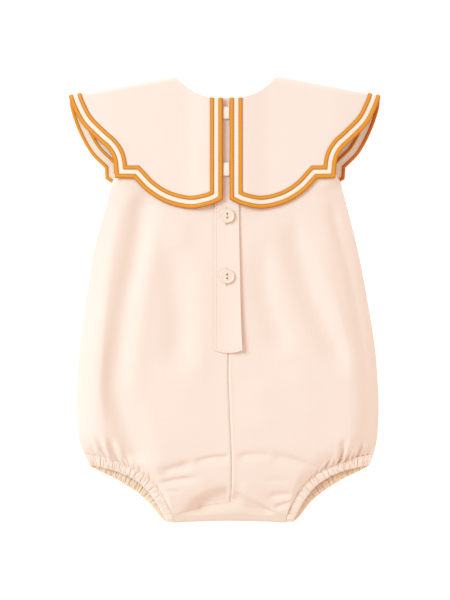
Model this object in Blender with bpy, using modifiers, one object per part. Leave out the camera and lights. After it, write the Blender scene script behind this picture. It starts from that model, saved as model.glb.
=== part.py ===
"""A sleeveless baby bodysuit with a wide scalloped collar, laid flat on its front.

The back faces up. Z is up, +Y runs from the crotch to the neck and +X to the right of the back view.
The frame's origin is on the surface that the bodysuit lies on, under the middle of its outline.
Lengths below are millimetres, and the meshes are in metres. Half widths are measured from the
garment's own centre line, which lies a little askew.
"""

from collections import namedtuple
from functools import partial

import bmesh
import bpy
import numpy as np
from mathutils import Matrix

MM = 0.001

# ---- cloth and clearances -------------------------------------------------------------------
BODY_CLOTH = 1.2          # wall of the body panels, the gusset and the placket band
COLLAR_CLOTH = 1.5        # two faced layers, sewn and turned
SEAM_GAP = 0.3            # between the edges of pieces that are sewn together
LAY_GAP = 0.4             # between a piece and the piece that it lies on

# ---- body outline ---------------------------------------------------------------------------
EdgePoint = namedtuple("EdgePoint", "half_width height")
SideRow = namedtuple("SideRow", "height half_width centre")
BODY_SIDE = [             # side seam, from the underarm down to the leg
    SideRow(102, 99.4, 1.9),
    SideRow(80, 105.2, 2.0),
    SideRow(38, 116.3, 1.4),
    SideRow(-4, 123.6, 2.1),
    SideRow(-45, 129.6, 2.4),
    SideRow(-87, 132.2, 2.7),
    SideRow(-116, 131.2, 2.8),
    SideRow(-129, 128.6, 3.4),
    SideRow(-136, 125.9, 3.9),
]
ARMHOLE = [               # from the underarm up to the shoulder end
    EdgePoint(99.4, 102),
    EdgePoint(91.0, 118),
    EdgePoint(86.0, 140),
    EdgePoint(86.0, 163),
    EdgePoint(89.0, 183.2),
]
SHOULDER_END = 89.0
BACK_LEG_HEM = [          # free edge of the back leg casing, from the side to the crotch
    EdgePoint(122.4, -144.0),
    EdgePoint(110.0, -146.4),
    EdgePoint(97.0, -149.9),
    EdgePoint(84.5, -155.6),
    EdgePoint(74.0, -163.5),
    EdgePoint(66.0, -173.4),
    EdgePoint(60.3, -183.2),
    EdgePoint(54.6, -193.7),
]
BACK_LEG_SEAM = [         # where the back leg casing is sewn to the back
    EdgePoint(125.5, -136.0),
    EdgePoint(111.0, -138.3),
    EdgePoint(97.0, -142.5),
    EdgePoint(84.0, -147.8),
    EdgePoint(73.0, -154.3),
    EdgePoint(63.6, -163.8),
    EdgePoint(55.6, -175.5),
    EdgePoint(50.5, -185.0),
    EdgePoint(49.0, -193.7),
]
FRONT_LEG_HEM = [         # free edge of the front leg casing, which is cut lower
    EdgePoint(122.5, -145.0),
    EdgePoint(111.5, -150.8),
    EdgePoint(101.0, -155.7),
    EdgePoint(91.0, -161.8),
    EdgePoint(81.0, -168.3),
    EdgePoint(70.6, -177.4),
    EdgePoint(60.5, -190.0),
    EdgePoint(55.0, -194.4),
]
FRONT_LEG_SEAM = [
    EdgePoint(125.5, -136.6),
    EdgePoint(112.0, -142.5),
    EdgePoint(99.5, -147.7),
    EdgePoint(88.0, -154.0),
    EdgePoint(77.0, -161.3),
    EdgePoint(66.0, -170.8),
    EdgePoint(55.6, -183.5),
    EdgePoint(49.0, -194.0),
]
CENTRE_AT_NECK = 1.5      # the centre line's place at the neck,
CENTRE_AT_CROTCH = 4.6    # and at the crotch
GUSSET_TOP = -175.9       # the gusset's seam at the centre back,
GUSSET_BACK_SHARE = 0.93  # and where it meets the back leg seam, as a share of that seam
GUSSET_FRONT = -184.6     # its seam on the front
CROTCH_FOLD = -194.6      # the fold at the lowest edge,
CROTCH_ROUND = 5.0        # over this distance,
CROTCH_ARCH = 1.6         # which rises this much in the middle

# ---- collar outline, from the collar's own centre -------------------------------------------
COLLAR_CENTRE = 1.5
LEFT_STRETCH, RIGHT_STRETCH = 1.01, 0.99     # the collar lies a little askew
NECK_POINT = EdgePoint(45.2, 194.8)
COLLAR_TIP = EdgePoint(136.0, 178.0)
BACK_NECKLINE = [
    EdgePoint(2.4, 176.0),
    EdgePoint(14.0, 176.6),
    EdgePoint(26.0, 180.2),
    EdgePoint(36.5, 187.2),
    NECK_POINT,
]
FRONT_NECKLINE = [
    NECK_POINT,
    EdgePoint(40.0, 176.0),
    EdgePoint(29.0, 161.0),
    EdgePoint(15.0, 152.5),
    EdgePoint(0.0, 150.0),
]
BACK_OPENING = [EdgePoint(2.4, 176.0), EdgePoint(2.4, 86.6)]
BACK_SCALLOP = [
    EdgePoint(2.4, 86.6),
    EdgePoint(15.0, 81.4),
    EdgePoint(32.0, 78.9),
    EdgePoint(52.0, 83.7),
    EdgePoint(68.0, 93.4),
    EdgePoint(79.4, 105.2),
]
BACK_STEP = [EdgePoint(79.4, 105.2), EdgePoint(95.4, 105.4)]
BACK_CAP = [              # from the step up over the arm to the tip
    EdgePoint(95.4, 105.4),
    EdgePoint(97.2, 121.4),
    EdgePoint(102.0, 130.6),
    EdgePoint(110.4, 138.4),
    EdgePoint(124.2, 152.6),
    EdgePoint(132.2, 167.4),
    COLLAR_TIP,
]
FRONT_SCALLOP = [
    EdgePoint(0.0, 88.0),
    EdgePoint(18.0, 82.0),
    EdgePoint(44.0, 80.0),
    EdgePoint(72.0, 87.0),
    EdgePoint(96.0, 100.4),
    EdgePoint(104.6, 105.6),
]
FRONT_STEP = [EdgePoint(104.6, 105.6), EdgePoint(105.2, 114.0)]
FRONT_CAP = [
    EdgePoint(105.2, 114.0),
    EdgePoint(116.2, 128.6),
    EdgePoint(126.2, 147.0),
    EdgePoint(133.2, 165.4),
    COLLAR_TIP,
]

# ---- collar border: distances in from the edge, and heights over the cloth --------------------
Band = namedtuple("Band", "name start end low high")
BINDING = Band("binding", 0.0, 3.8, -COLLAR_CLOTH, 1.0)
TAPE = Band("tape", 4.2, 7.5, SEAM_GAP, 0.7)
CORD = Band("cord", 7.8, 11.0, SEAM_GAP, 1.0)
CLOTH_EDGE = BINDING.end + SEAM_GAP

# ---- heights --------------------------------------------------------------------------------
CrownRow = namedtuple("CrownRow", "height_along rise")
CROWN = [                 # upper surface of the back, along the centre line
    CrownRow(-200, 7.6),
    CrownRow(-180, 9.6),
    CrownRow(-150, 17.0),
    CrownRow(-110, 19.5),
    CrownRow(-45, 18.0),
    CrownRow(20, 15.5),
    CrownRow(80, 12.8),
    CrownRow(130, 11.6),
    CrownRow(176, 10.8),
    CrownRow(200, 10.4),
]
CROWN_FALL = 0.16         # share that the crown has lost at a body side
BODY_HALF = 130.0         # about half of the body's width,
BACK_LENGTH = 320.0       # its length from the leg seam to the shoulder,
NECKLINE_HALF = 48.0      # and the lengths of half a back and half a front neckline
FRONT_NECKLINE_HALF = 72.0
NECK_ROUND = 6.5          # how far down the neckline the shoulder fold reaches
SIDE_ROUND = 15.0         # how far in from the side the back reaches its height,
ARM_ROUND = 4.5           # from the armhole,
HEM_ROUND = 15.0          # and from the leg casing
RiseRow = namedtuple("RiseRow", "height_along back front")
SIDE_RISE = [             # the back's and the front's side edges, which meet below the underarm
    RiseRow(-140, 3.3, 3.3),
    RiseRow(20, 3.3, 3.3),
    RiseRow(64, 5.3, 5.3),
    RiseRow(102, 5.5, 5.5),
    RiseRow(135, 7.2, 5.1),
    RiseRow(165, 7.2, 5.1),
    RiseRow(190, 5.6, 5.6),
]
FRONT_CURL = 3.2          # width of the front's edge that curls up to the side seam
FRONT_ON_COLLAR = COLLAR_CLOTH + BINDING.high + SEAM_GAP
FRONT_ON_SURFACE = 30.0   # below this the front lies on the surface,
FRONT_RISEN = 64.0        # and above this on the front collar
TIP_DROP = 2.6            # how much lower the back flap hangs past the arm,
ARM_LINE, ARM_REACH = 92.0, 46.0      # which begins here and ends at the tip
TAB_THICK = 0.8
OVER_PLACKET = BODY_CLOTH + SEAM_GAP + TAB_THICK + SEAM_GAP
PLACKET_HALF, PLACKET_EASE = 14.0, 24.0     # the flaps ride over the band and ease down beside it
UNDERARM, UNDERARM_EASE = 92.0, 16.0        # where the side seam turns into the armhole
CASING_THICK = 3.0
FRONT_HEM_GAP = 0.55      # the front's hem is made of chords, which come nearer to the casing
RiseShare = namedtuple("RiseShare", "share rise")
BACK_CASING_RISE = [      # underside of the back leg casing, from the side to the crotch
    RiseShare(0.0, 3.3),
    RiseShare(0.3, 5.4),
    RiseShare(0.65, 6.0),
    RiseShare(1.0, 3.3),
]
HEM_ON_CASING = 2.2       # the back's hem over the casing's underside

# ---- placket, tabs and buttons --------------------------------------------------------------
PlacketRow = namedtuple("PlacketRow", "height left right lift")
PLACKET = [               # the band's edges, and how far its free right edge stands up
    PlacketRow(-43.2, -8.4, 15.2, 1.1),
    PlacketRow(-20, -8.4, 14.1, 0.7),
    PlacketRow(20, -8.3, 13.2, 0.2),
    PlacketRow(84, -8.3, 12.3, 0.0),
    PlacketRow(175.4, -8.3, 12.3, 0.0),
]
PLACKET_DIP = 2.4         # its lower end dips this much at the centre seam
PLACKET_ROWS = 16
PLACKET_COLUMNS = 6
Tab = namedtuple("Tab", "name low high")
TABS = [Tab("tab_upper", 158.2, 168.2), Tab("tab_lower", 108.4, 119.4)]
TAB_LEFT, TAB_RIGHT = -7.0, 10.0
Button = namedtuple("Button", "name x y")
BUTTONS = [Button("button_upper", 2.35, 72.7), Button("button_lower", 2.35, 20.2)]
BUTTON_PROFILE = [        # radius and height, down the outer side
    (0.0, 1.5),
    (3.7, 1.6),
    (4.6, 2.2),
    (5.8, 2.0),
    (6.35, 1.2),
    (5.9, 0.3),
    (4.6, 0.0),
    (0.0, 0.0),
]
BUTTON_RADIUS = 6.35
BUTTON_STAND = 0.1        # extra height over the band, which isn't quite flat
BUTTON_SIDES = 20
BUTTON_HOLE_RADIUS = 0.65
BUTTON_HOLE_SPACING = 3.1

# ---- folds and gathers ----------------------------------------------------------------------
Fold = namedtuple("Fold", "start middle end depth width")
BACK_FOLDS = [            # troughs along a smooth line through three places, in x and y
    Fold((-80, 94), (-97, 15), (-103, -112), 2.4, 7.0),
    Fold((-103, -95), (-97, -120), (-88, -138), 1.8, 5.0),
    Fold((-50, 30), (-50, -28), (-46, -70), 1.0, 10.0),
    Fold((83, 80), (111, 0), (121, -92), 2.2, 7.0),
    Fold((121, -85), (117, -108), (107, -128), 2.0, 5.0),
    Fold((28, 22), (62, -28), (96, -74), 1.0, 11.0),
    Fold((-47, -145), (-22, -138), (4, -134.5), 1.2, 4.5),
    Fold((7, -134.5), (45, -135), (76, -149), 1.2, 4.5),
    Fold((-27, -178), (-12, -168), (4, -161), 1.6, 5.0),
    Fold((48, -178), (34, -170), (14, -165), 1.2, 5.0),
]
FOLD_FADE = 0.3           # share of a fold's line over which it fades out at either end
Gather = namedtuple("Gather", "share length depth")
LEG_GATHERS = [           # tucks that fan up from the back leg seam, by share from the side
    Gather(0.22, 26, 1.5),
    Gather(0.30, 20, 1.9),
    Gather(0.38, 30, 1.6),
    Gather(0.47, 18, 1.8),
    Gather(0.56, 24, 1.5),
    Gather(0.65, 16, 1.6),
    Gather(0.75, 26, 1.4),
    Gather(0.86, 18, 1.1),
]
LEG_SEAM_LENGTH = 100.0
GATHER_WIDTH = 2.8        # a tuck's width at the seam,
GATHER_SPREAD = 0.05      # and how much it widens upwards
GATHER_START, GATHER_END = 5.0, 12.0        # distances over which it deepens and fades
CASING_WAVES = 22
CASING_WAVE_DEPTH = 0.6
CASING_WAVE_EDGE = 0.5

SIDES = {"left": -1.0, "right": 1.0}
BACK_CORNER = 0.4         # share of a back half's width inside its corners at hem and neck
LEG_CORNER = 0.12         # share over which its hem comes down to the leg casing
FRONT_CORNER = 0.3        # share of the front's width outside its corners at hem and neck


# ---- curves ---------------------------------------------------------------------------------
def smooth(points, per_span=12):
    """A Catmull-Rom curve through the points, as many short chords."""
    p = np.asarray(points, float)
    p = np.vstack([2 * p[0] - p[1], p, 2 * p[-1] - p[-2]])
    t = (np.arange(per_span) / per_span)[:, None]
    spans = [
        0.5 * (2 * b + (c - a) * t + (2 * a - 5 * b + 4 * c - d) * t**2 + (3 * b - 3 * c + d - a) * t**3)
        for a, b, c, d in zip(p[:-3], p[1:-2], p[2:-1], p[3:])
    ]
    return np.vstack(spans + [p[-2:-1]])


def lengths(curve):
    """Distance along a curve at each of its points."""
    return np.append(0, np.cumsum(np.linalg.norm(np.diff(curve, axis=0), axis=1)))


def along(curve, shares):
    """Points at these shares of a curve's length."""
    curve = np.asarray(curve, float)
    at = lengths(curve)
    wanted = np.asarray(shares, float) * at[-1]
    return np.stack([np.interp(wanted, at, curve[:, k]) for k in range(curve.shape[1])], axis=-1)


def joined(runs, shares, corners):
    """Points along curves that follow each other, whose corners lie at these shares."""
    shares = np.asarray(shares, float)
    limits = [0.0, *corners, 1.0]
    points = along(runs[0], np.clip(shares / limits[1], 0, 1))
    for run, low, high in zip(runs[1:], limits[1:-1], limits[2:]):
        here = along(run, np.clip((shares - low) / (high - low), 0, 1))
        points = np.where((shares > low)[:, None], here, points)
    return points


def look_up(rows, at):
    """The columns after the first of a table, at these values of the first, joined smoothly."""
    curve = smooth(sorted(rows))
    return [np.interp(at, curve[:, 0], curve[:, k]) for k in range(1, curve.shape[1])]


def coons(bottom, top, left, right, u, v):
    """The net of a four-sided patch: its sides and its ends blended, less its corners."""
    u = u[None, :, None]
    v = v[:, None, None]
    ends = (1 - v) * bottom[None] + v * top[None]
    sides = (1 - u) * left[:, None] + u * right[:, None]
    corners = (1 - u) * ((1 - v) * bottom[0] + v * top[0]) + u * ((1 - v) * bottom[-1] + v * top[-1])
    return ends + sides - corners


def beside(run, distance, turn):
    """A run moved to one side by a distance, with a straight lead at either end."""
    steps = np.diff(run, axis=0)
    steps = steps / np.linalg.norm(steps, axis=1)[:, None]
    normals = turn * np.stack([-steps[:, 1], steps[:, 0]], axis=-1)
    before = np.vstack([normals[:1], normals])
    after = np.vstack([normals, normals[-1:]])
    moved = run + distance * (before + after) / (1 + (before * after).sum(axis=1))[:, None]
    lead = 2 * distance
    return np.vstack([moved[:1] - lead * steps[0], moved, moved[-1:] + lead * steps[-1]])


def crossing(first, second):
    """Where two runs cross: the last segment of the first, the segment of the second, the place."""
    p, r = first[:-1, None], np.diff(first, axis=0)[:, None]
    q, s = second[None, :-1], np.diff(second, axis=0)[None]
    area = r[..., 0] * s[..., 1] - r[..., 1] * s[..., 0]
    area = np.where(np.abs(area) < 1e-9, np.inf, area)
    gap = q - p
    t = (gap[..., 0] * s[..., 1] - gap[..., 1] * s[..., 0]) / area
    w = (gap[..., 0] * r[..., 1] - gap[..., 1] * r[..., 0]) / area
    hits = np.argwhere((t >= 0) & (t <= 1) & (w >= 0) & (w <= 1))
    i, j = hits[hits[:, 0].argmax()]
    return i, j, first[i] + t[i, j] * (first[i + 1] - first[i])


def moved_in(runs, distance, turn):
    """Runs that follow each other, moved to one side and cut where they meet again."""
    runs = [beside(run, distance, turn) for run in runs]
    for k in range(len(runs) - 1):
        i, j, corner = crossing(runs[k], runs[k + 1])
        runs[k] = np.vstack([runs[k][:i + 1], corner])
        runs[k + 1] = np.vstack([corner, runs[k + 1][j + 1:]])
    runs[0] = runs[0][1:]
    runs[-1] = runs[-1][:-1]
    return runs


def pulled_to(edge, first, last):
    """An edge whose two ends are moved to these places, the rest following in proportion."""
    share = (lengths(edge) / lengths(edge)[-1])[:, None]
    return edge + (1 - share) * (first - edge[0]) + share * (last - edge[-1])


def ease(x):
    """A smooth step from 0 to 1."""
    x = np.clip(x, 0, 1)
    return x * x * (3 - 2 * x)


def quarter(distance, reach):
    """A quarter ellipse: 0 at an edge, 1 from the reach inwards, upright at the edge."""
    return np.sqrt(1 - (1 - np.clip(distance / reach, 0, 1)) ** 2)


def quarter_steps(reach, count):
    """Distances from an edge that divide a quarter ellipse evenly."""
    return reach * (1 - np.cos(np.linspace(0, np.pi / 2, count)))


# ---- places on the garment ------------------------------------------------------------------
def centre_line(y):
    """X of the garment's centre line at this height."""
    return np.interp(y, [CROTCH_FOLD, 100], [CENTRE_AT_CROTCH, CENTRE_AT_NECK])


def body_curve(points, side):
    """A body edge as x and y."""
    return smooth([(centre_line(p.height) + SIDES[side] * p.half_width, p.height) for p in points])


def body_side(side):
    """The body's side edge from the leg casing up past the underarm to the shoulder end."""
    seam = smooth([(row.centre + SIDES[side] * row.half_width, row.height) for row in reversed(BODY_SIDE)])
    arm = body_curve(ARMHOLE, side)
    return np.vstack([seam, arm[1:] + seam[-1] - arm[0]])


def collar_curve(points, side, per_span=12):
    """A collar edge as x and y."""
    reach = -LEFT_STRETCH if side == "left" else RIGHT_STRETCH
    return smooth([(COLLAR_CENTRE + reach * p.half_width, p.height) for p in points], per_span)


def crest(x):
    """Y of the shoulder fold over this x: one straight line on each side."""
    stretch = np.where(x < COLLAR_CENTRE, LEFT_STRETCH, RIGHT_STRETCH)
    half = np.abs(x - COLLAR_CENTRE) / stretch
    slope = (COLLAR_TIP.height - NECK_POINT.height) / (COLLAR_TIP.half_width - NECK_POINT.half_width)
    return NECK_POINT.height + slope * (half - NECK_POINT.half_width)


def ended_at_crest(run):
    """A rising run cut off where it meets the shoulder fold."""
    over = run[:, 1] - crest(run[:, 0])
    if over[-1] <= 0:
        return run
    cut = int(np.argmax(over > 0))
    share = -over[cut - 1] / (over[cut] - over[cut - 1])
    return np.vstack([run[:cut], run[cut - 1] + share * (run[cut] - run[cut - 1])])


def crown(x, y):
    """Upper surface of the back away from its edges and folds."""
    return look_up(CROWN, y)[0] * (1 - CROWN_FALL * (x / BODY_HALF) ** 2)


def trough(x, y, fold):
    """Depth of one fold at these points: soft across its line, fading out at both ends."""
    line = smooth([fold.start, fold.middle, fold.end])
    gap = np.linalg.norm(np.stack([x, y], axis=-1)[..., None, :] - line, axis=-1)
    share = gap.argmin(axis=-1) / (len(line) - 1)
    fade = ease(share / FOLD_FADE) * ease((1 - share) / FOLD_FADE)
    return fold.depth * fade * np.exp(-((gap.min(axis=-1) / fold.width) ** 2))


def back_height(x, y):
    """Upper surface of the back with its folds, away from its edges."""
    return crown(x, y) - sum(trough(x, y, fold) for fold in BACK_FOLDS)


def flap_top(x, y):
    """Upper surface of the back flaps away from the shoulder fold."""
    aside = np.abs(x - COLLAR_CENTRE)
    over_placket = 1 - ease((aside - PLACKET_HALF) / PLACKET_EASE)
    past_arm = ease((aside - ARM_LINE) / ARM_REACH)
    return crown(x, y) + LAY_GAP + COLLAR_CLOTH + OVER_PLACKET * over_placket - TIP_DROP * past_arm


def fold_radius(x):
    """Half of the collar's height at the shoulder fold."""
    return flap_top(x, crest(x)) / 2


def on_flap(x, y, lift):
    """A point of the back flap's upper face, which rolls over to the crest, moved out by lift."""
    radius = fold_radius(x)
    inwards = crest(x) - y
    turn = np.arccos(1 - np.clip(inwards / radius, 0, 1))
    base = radius + SEAM_GAP / 2
    z = base + (flap_top(x, y) - base) * np.sin(turn)
    y = np.minimum(y, crest(x))
    return np.stack([x, y + lift * np.cos(turn), z + lift * np.sin(turn)], axis=-1)


def on_front_collar(x, y, lift):
    """A point of the front collar's upper face, moved up by lift. Its under face lies at 0."""
    radius = fold_radius(x)
    inwards = crest(x) - y
    turn = np.arccos(1 - np.clip(inwards / radius, 0, 1))
    base = radius - SEAM_GAP / 2
    up = COLLAR_CLOTH + lift
    z = base * (1 - np.sin(turn))
    y = np.minimum(y, crest(x))
    return np.stack([x, y - up * np.cos(turn), z + up * np.sin(turn)], axis=-1)


# ---- meshes ---------------------------------------------------------------------------------
Look = namedtuple("Look", "name colour roughness")
PEACH = Look("peach_cloth", (0.92, 0.78, 0.66), 0.6)
IVORY = Look("ivory_tape", (0.98, 0.85, 0.70), 0.5)
ORANGE = Look("orange_trim", (0.90, 0.34, 0.03), 0.45)
CREAM = Look("button_cream", (0.95, 0.82, 0.68), 0.35)


def material(name, look):
    made = bpy.data.materials.new(f"{look.name}_{name}")
    made.use_nodes = True
    shader = made.node_tree.nodes["Principled BSDF"]
    shader.inputs["Base Color"].default_value = (*look.colour, 1)
    shader.inputs["Roughness"].default_value = look.roughness
    made.diffuse_color = (*look.colour, 1)
    return made


def add_object(name, points, faces, look):
    """A mesh object from points in millimetres, in the garment's collection."""
    mesh = bpy.data.meshes.new(name)
    mesh.from_pydata((np.asarray(points) * MM).tolist(), [], faces)
    obj = bpy.data.objects.new(name, mesh)
    GARMENT.objects.link(obj)
    mesh.materials.append(material(name, look))
    mesh.shade_smooth()
    return obj


def cloth(name, net, thick, look):
    """A wall of cloth behind a net of outer points, rows by columns, whose faces point out."""
    rows, columns = net.shape[:2]
    at = np.arange(rows * columns).reshape(rows, columns)
    faces = np.stack([at[:-1, :-1], at[:-1, 1:], at[1:, 1:], at[1:, :-1]], axis=-1).reshape(-1, 4)
    obj = add_object(name, net.reshape(-1, 3), faces.tolist(), look)
    wall = obj.modifiers.new("Wall", "SOLIDIFY")
    wall.thickness = thick * MM
    wall.offset = -1
    return obj


def wall(name, outer, inner, look):
    """A wall between an outer and an inner net, for edges that Solidify would turn out of their seam.

    Rows by columns; the outer net's faces point out, and a rim of quads joins the two.
    """
    rows, columns = outer.shape[:2]
    at = np.arange(rows * columns).reshape(rows, columns)
    faces = np.stack([at[:-1, :-1], at[:-1, 1:], at[1:, 1:], at[1:, :-1]], axis=-1).reshape(-1, 4)
    rim = np.concatenate([at[0], at[1:, -1], at[-1, -2::-1], at[-2:0:-1, 0]])
    ahead = np.roll(rim, -1)
    back = faces[:, ::-1] + rows * columns
    sides = np.stack([rim, rim + rows * columns, ahead + rows * columns, ahead], axis=-1)
    points = np.concatenate([outer.reshape(-1, 3), inner.reshape(-1, 3)])
    return add_object(name, points, np.concatenate([faces, back, sides]).tolist(), look)


def level_in(edge, turn):
    """Level unit vectors at right angles to an edge, one for each of its points."""
    step = np.gradient(edge[:, :2], axis=0)
    across = turn * np.stack([-step[:, 1], step[:, 0], np.zeros(len(step))], axis=-1)
    return across / np.linalg.norm(across, axis=-1)[:, None]


def lean(risen):
    """How far a wall leans over where a quarter ellipse has risen this much: level 1, upright 0."""
    return np.sqrt(1 - risen**2)[..., None]


def loft(name, rings, look):
    """A closed body through rings of points, stations by points round, with capped ends."""
    stations, around = rings.shape[:2]
    at = np.arange(stations * around).reshape(stations, around)
    turned = np.roll(at, -1, axis=1)
    faces = np.stack([at[:-1], turned[:-1], turned[1:], at[1:]], axis=-1).reshape(-1, 4).tolist()
    faces += [at[0, ::-1].tolist(), at[-1].tolist()]
    obj = add_object(name, rings.reshape(-1, 3), faces, look)
    body = bmesh.new()
    body.from_mesh(obj.data)
    bmesh.ops.recalc_face_normals(body, faces=body.faces)
    body.to_mesh(obj.data)
    body.free()
    return obj


# ---- body -----------------------------------------------------------------------------------
def gusset_seam(side):
    """The seam over the crotch as x and y, from the centre back to the leg casing."""
    end = along(body_curve(BACK_LEG_SEAM, side), [GUSSET_BACK_SHARE])[0]
    middle = np.array([centre_line(GUSSET_TOP), GUSSET_TOP])
    bend = 0.5 * (middle + end) + np.array([0, 1.2])
    return smooth([middle, bend, end])


def shoulder_inside(side):
    """The body's shoulder seam inside the collar's fold, from the neck to the shoulder end."""
    neck = collar_curve(BACK_NECKLINE, side)[-1, 0]
    x = np.linspace(neck, CENTRE_AT_NECK + SIDES[side] * SHOULDER_END, 5)
    return np.stack([x, crest(x) - COLLAR_CLOTH - LAY_GAP], axis=-1)


def back_columns():
    """Shares across a back half: even to the corner, then one on and between each gather."""
    seam = [1 - gather.share for gather in reversed(LEG_GATHERS)]
    middles = [0.5 * (low + high) for low, high in zip([0.0] + seam[:-1], seam)]
    tucked = BACK_CORNER + (1 - BACK_CORNER) * np.sort(seam + middles)
    rounded = 1 - quarter_steps(SIDE_ROUND / BODY_HALF, 5)[::-1]
    near_neck = BACK_CORNER * (1 - quarter_steps(NECK_ROUND / NECKLINE_HALF, 4)[::-1])
    return np.concatenate([np.linspace(0, 0.28, 4), near_neck, tucked, rounded])


BACK_ROWS = np.concatenate([
    quarter_steps(HEM_ROUND / BACK_LENGTH, 5),
    [0.075, 0.11, 0.16, 0.22, 0.30, 0.39, 0.49, 0.60, 0.72, 0.84, 0.94],
    1 - quarter_steps(4.5 / BACK_LENGTH, 4)[::-1],
])


def back_net(side):
    """Outer points of one half of the back, rows from hem to shoulder, columns from centre to side."""
    u, v = back_columns(), BACK_ROWS
    leg = along(body_curve(BACK_LEG_SEAM, side), np.linspace(GUSSET_BACK_SHARE, 0, 80))
    low = moved_in([gusset_seam(side), leg], SEAM_GAP, SIDES[side])
    hem = joined(low, u, [BACK_CORNER])
    neck = collar_curve(BACK_NECKLINE, side)
    neck[-1] = shoulder_inside(side)[0]
    top = joined([neck, shoulder_inside(side)], u, [BACK_CORNER])
    hem[0, 0] = centre_line(hem[0, 1]) + SIDES[side] * SEAM_GAP / 2
    top[0, 0] = centre_line(top[0, 1]) + SIDES[side] * SEAM_GAP / 2
    inside = along([hem[0], top[0]], v)
    outside = along(pulled_to(body_side(side), hem[-1], top[-1]), v)
    plan = coons(hem, top, inside, outside, u, v)
    x, y = plan[..., 0], plan[..., 1]

    from_side = np.linalg.norm(plan - plan[:, -1:], axis=-1)
    from_hem = np.linalg.norm(plan - plan[:1], axis=-1)
    arm = ease((y - UNDERARM) / UNDERARM_EASE)
    off_side = quarter(from_side, SIDE_ROUND + (ARM_ROUND - SIDE_ROUND) * arm)
    on_leg = ease((u[None] - BACK_CORNER) / LEG_CORNER)
    off_hem = 1 - (1 - quarter(from_hem, HEM_ROUND)) * on_leg
    share = np.clip((1 - u) / (1 - BACK_CORNER), 0, 1)
    casing = look_up(BACK_CASING_RISE, share)[0][None] + HEM_ON_CASING
    side_edge = look_up(SIDE_RISE, y)[0] + SEAM_GAP / 2
    flat = crown(x, y) - sum(trough(x, y, fold) for fold in BACK_FOLDS) * off_side * off_hem
    for gather in LEG_GATHERS:
        across = (share[None] - gather.share) * LEG_SEAM_LENGTH
        width = GATHER_WIDTH + GATHER_SPREAD * from_hem
        fade = ease(from_hem / GATHER_START) * ease((gather.length - from_hem) / GATHER_END)
        flat = flat - gather.depth * np.exp(-((across / width) ** 2)) * fade
    over_hem = casing + (flat - casing) * off_hem
    z = side_edge + (over_hem - side_edge) * off_side
    below_fold = crest(x) - COLLAR_CLOTH - LAY_GAP - y
    radius = fold_radius(x) - COLLAR_CLOTH - LAY_GAP
    turn = np.arccos(1 - np.clip(below_fold / radius, 0, 1))
    base = fold_radius(x) + SEAM_GAP / 2
    z = base + (z - base) * np.sin(turn)
    outer = np.stack([x, y, z], axis=-1)
    risen = np.sin(turn)
    move = lean(off_side) * level_in(outer[:, -1], SIDES[side])[:, None]
    move = move + lean(off_hem) * level_in(outer[0], SIDES[side])[None]
    move = move + lean(risen) * np.array([0, -1, 0])
    move[..., 2] = -off_side * off_hem * risen
    return outer, outer + BODY_CLOTH * move


FRONT_COLUMNS = np.concatenate([
    quarter_steps(FRONT_CURL / 260, 4),
    np.linspace(0.035, FRONT_CORNER, 8)[:-1],
    FRONT_CORNER + (0.5 - FRONT_CORNER) * quarter_steps(NECK_ROUND / FRONT_NECKLINE_HALF, 4),
    [0.38, 0.44, 0.5],
])
FRONT_ROWS = np.concatenate([
    [0, 0.04, 0.14, 0.30, 0.46, 0.55, 0.61, 0.67, 0.74, 0.82, 0.90, 0.96],
    1 - quarter_steps(FRONT_CURL / BACK_LENGTH, 4)[::-1],
])


def front_net():
    """Outer points of the front, which face down, rows from hem to shoulder, from left to right."""
    u = np.concatenate([FRONT_COLUMNS, (1 - FRONT_COLUMNS[:-1])[::-1]])
    v = FRONT_ROWS
    legs = {side: rising_from(body_curve(FRONT_LEG_SEAM, side), GUSSET_FRONT) for side in SIDES}
    gusset = np.array([legs["left"][-1], legs["right"][-1]])
    low = moved_in([legs["left"], gusset, legs["right"][::-1]], FRONT_HEM_GAP, 1.0)
    hem = joined(low, u, [FRONT_CORNER, 1 - FRONT_CORNER])
    necks = {side: collar_curve(FRONT_NECKLINE, side) for side in SIDES}
    shoulders = {side: shoulder_inside(side)[::-1] for side in SIDES}
    for side in SIDES:
        necks[side][0] = shoulders[side][-1]
    neckline = np.vstack([necks["left"], necks["right"][::-1][1:]])
    corners = [FRONT_CORNER, 1 - FRONT_CORNER]
    top = joined([shoulders["left"], neckline, shoulders["right"][::-1]], u, corners)
    left = along(pulled_to(body_side("left"), hem[0], top[0]), v)
    right = along(pulled_to(body_side("right"), hem[-1], top[-1]), v)
    plan = coons(hem, top, left, right, u, v)
    x, y = plan[..., 0], plan[..., 1]
    from_left = np.linalg.norm(plan - plan[:, :1], axis=-1)
    from_right = np.linalg.norm(plan - plan[:, -1:], axis=-1)
    base = FRONT_ON_COLLAR * ease((y - FRONT_ON_SURFACE) / (FRONT_RISEN - FRONT_ON_SURFACE))
    side_edge = look_up(SIDE_RISE, y)[1] - SEAM_GAP / 2
    off_side = quarter(np.minimum(from_left, from_right), FRONT_CURL)
    z = side_edge + (base - side_edge) * off_side
    shoulder = fold_radius(x) - SEAM_GAP / 2
    off_shoulder = quarter(crest(x) - COLLAR_CLOTH - LAY_GAP - y, FRONT_CURL)
    z = shoulder + (z - shoulder) * off_shoulder
    outer = np.stack([x, y, z], axis=-1)
    nearer_left = (from_left < from_right)[..., None]
    from_edge = [level_in(outer[:, column], turn)[:, None] for column, turn in ((0, -1.0), (-1, 1.0))]
    inwards = np.where(nearer_left, from_edge[0], from_edge[1])
    move = lean(off_side) * inwards + lean(off_shoulder) * np.array([0, -1, 0])
    move[..., 2] = off_side * off_shoulder
    return outer, outer + BODY_CLOTH * move


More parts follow.
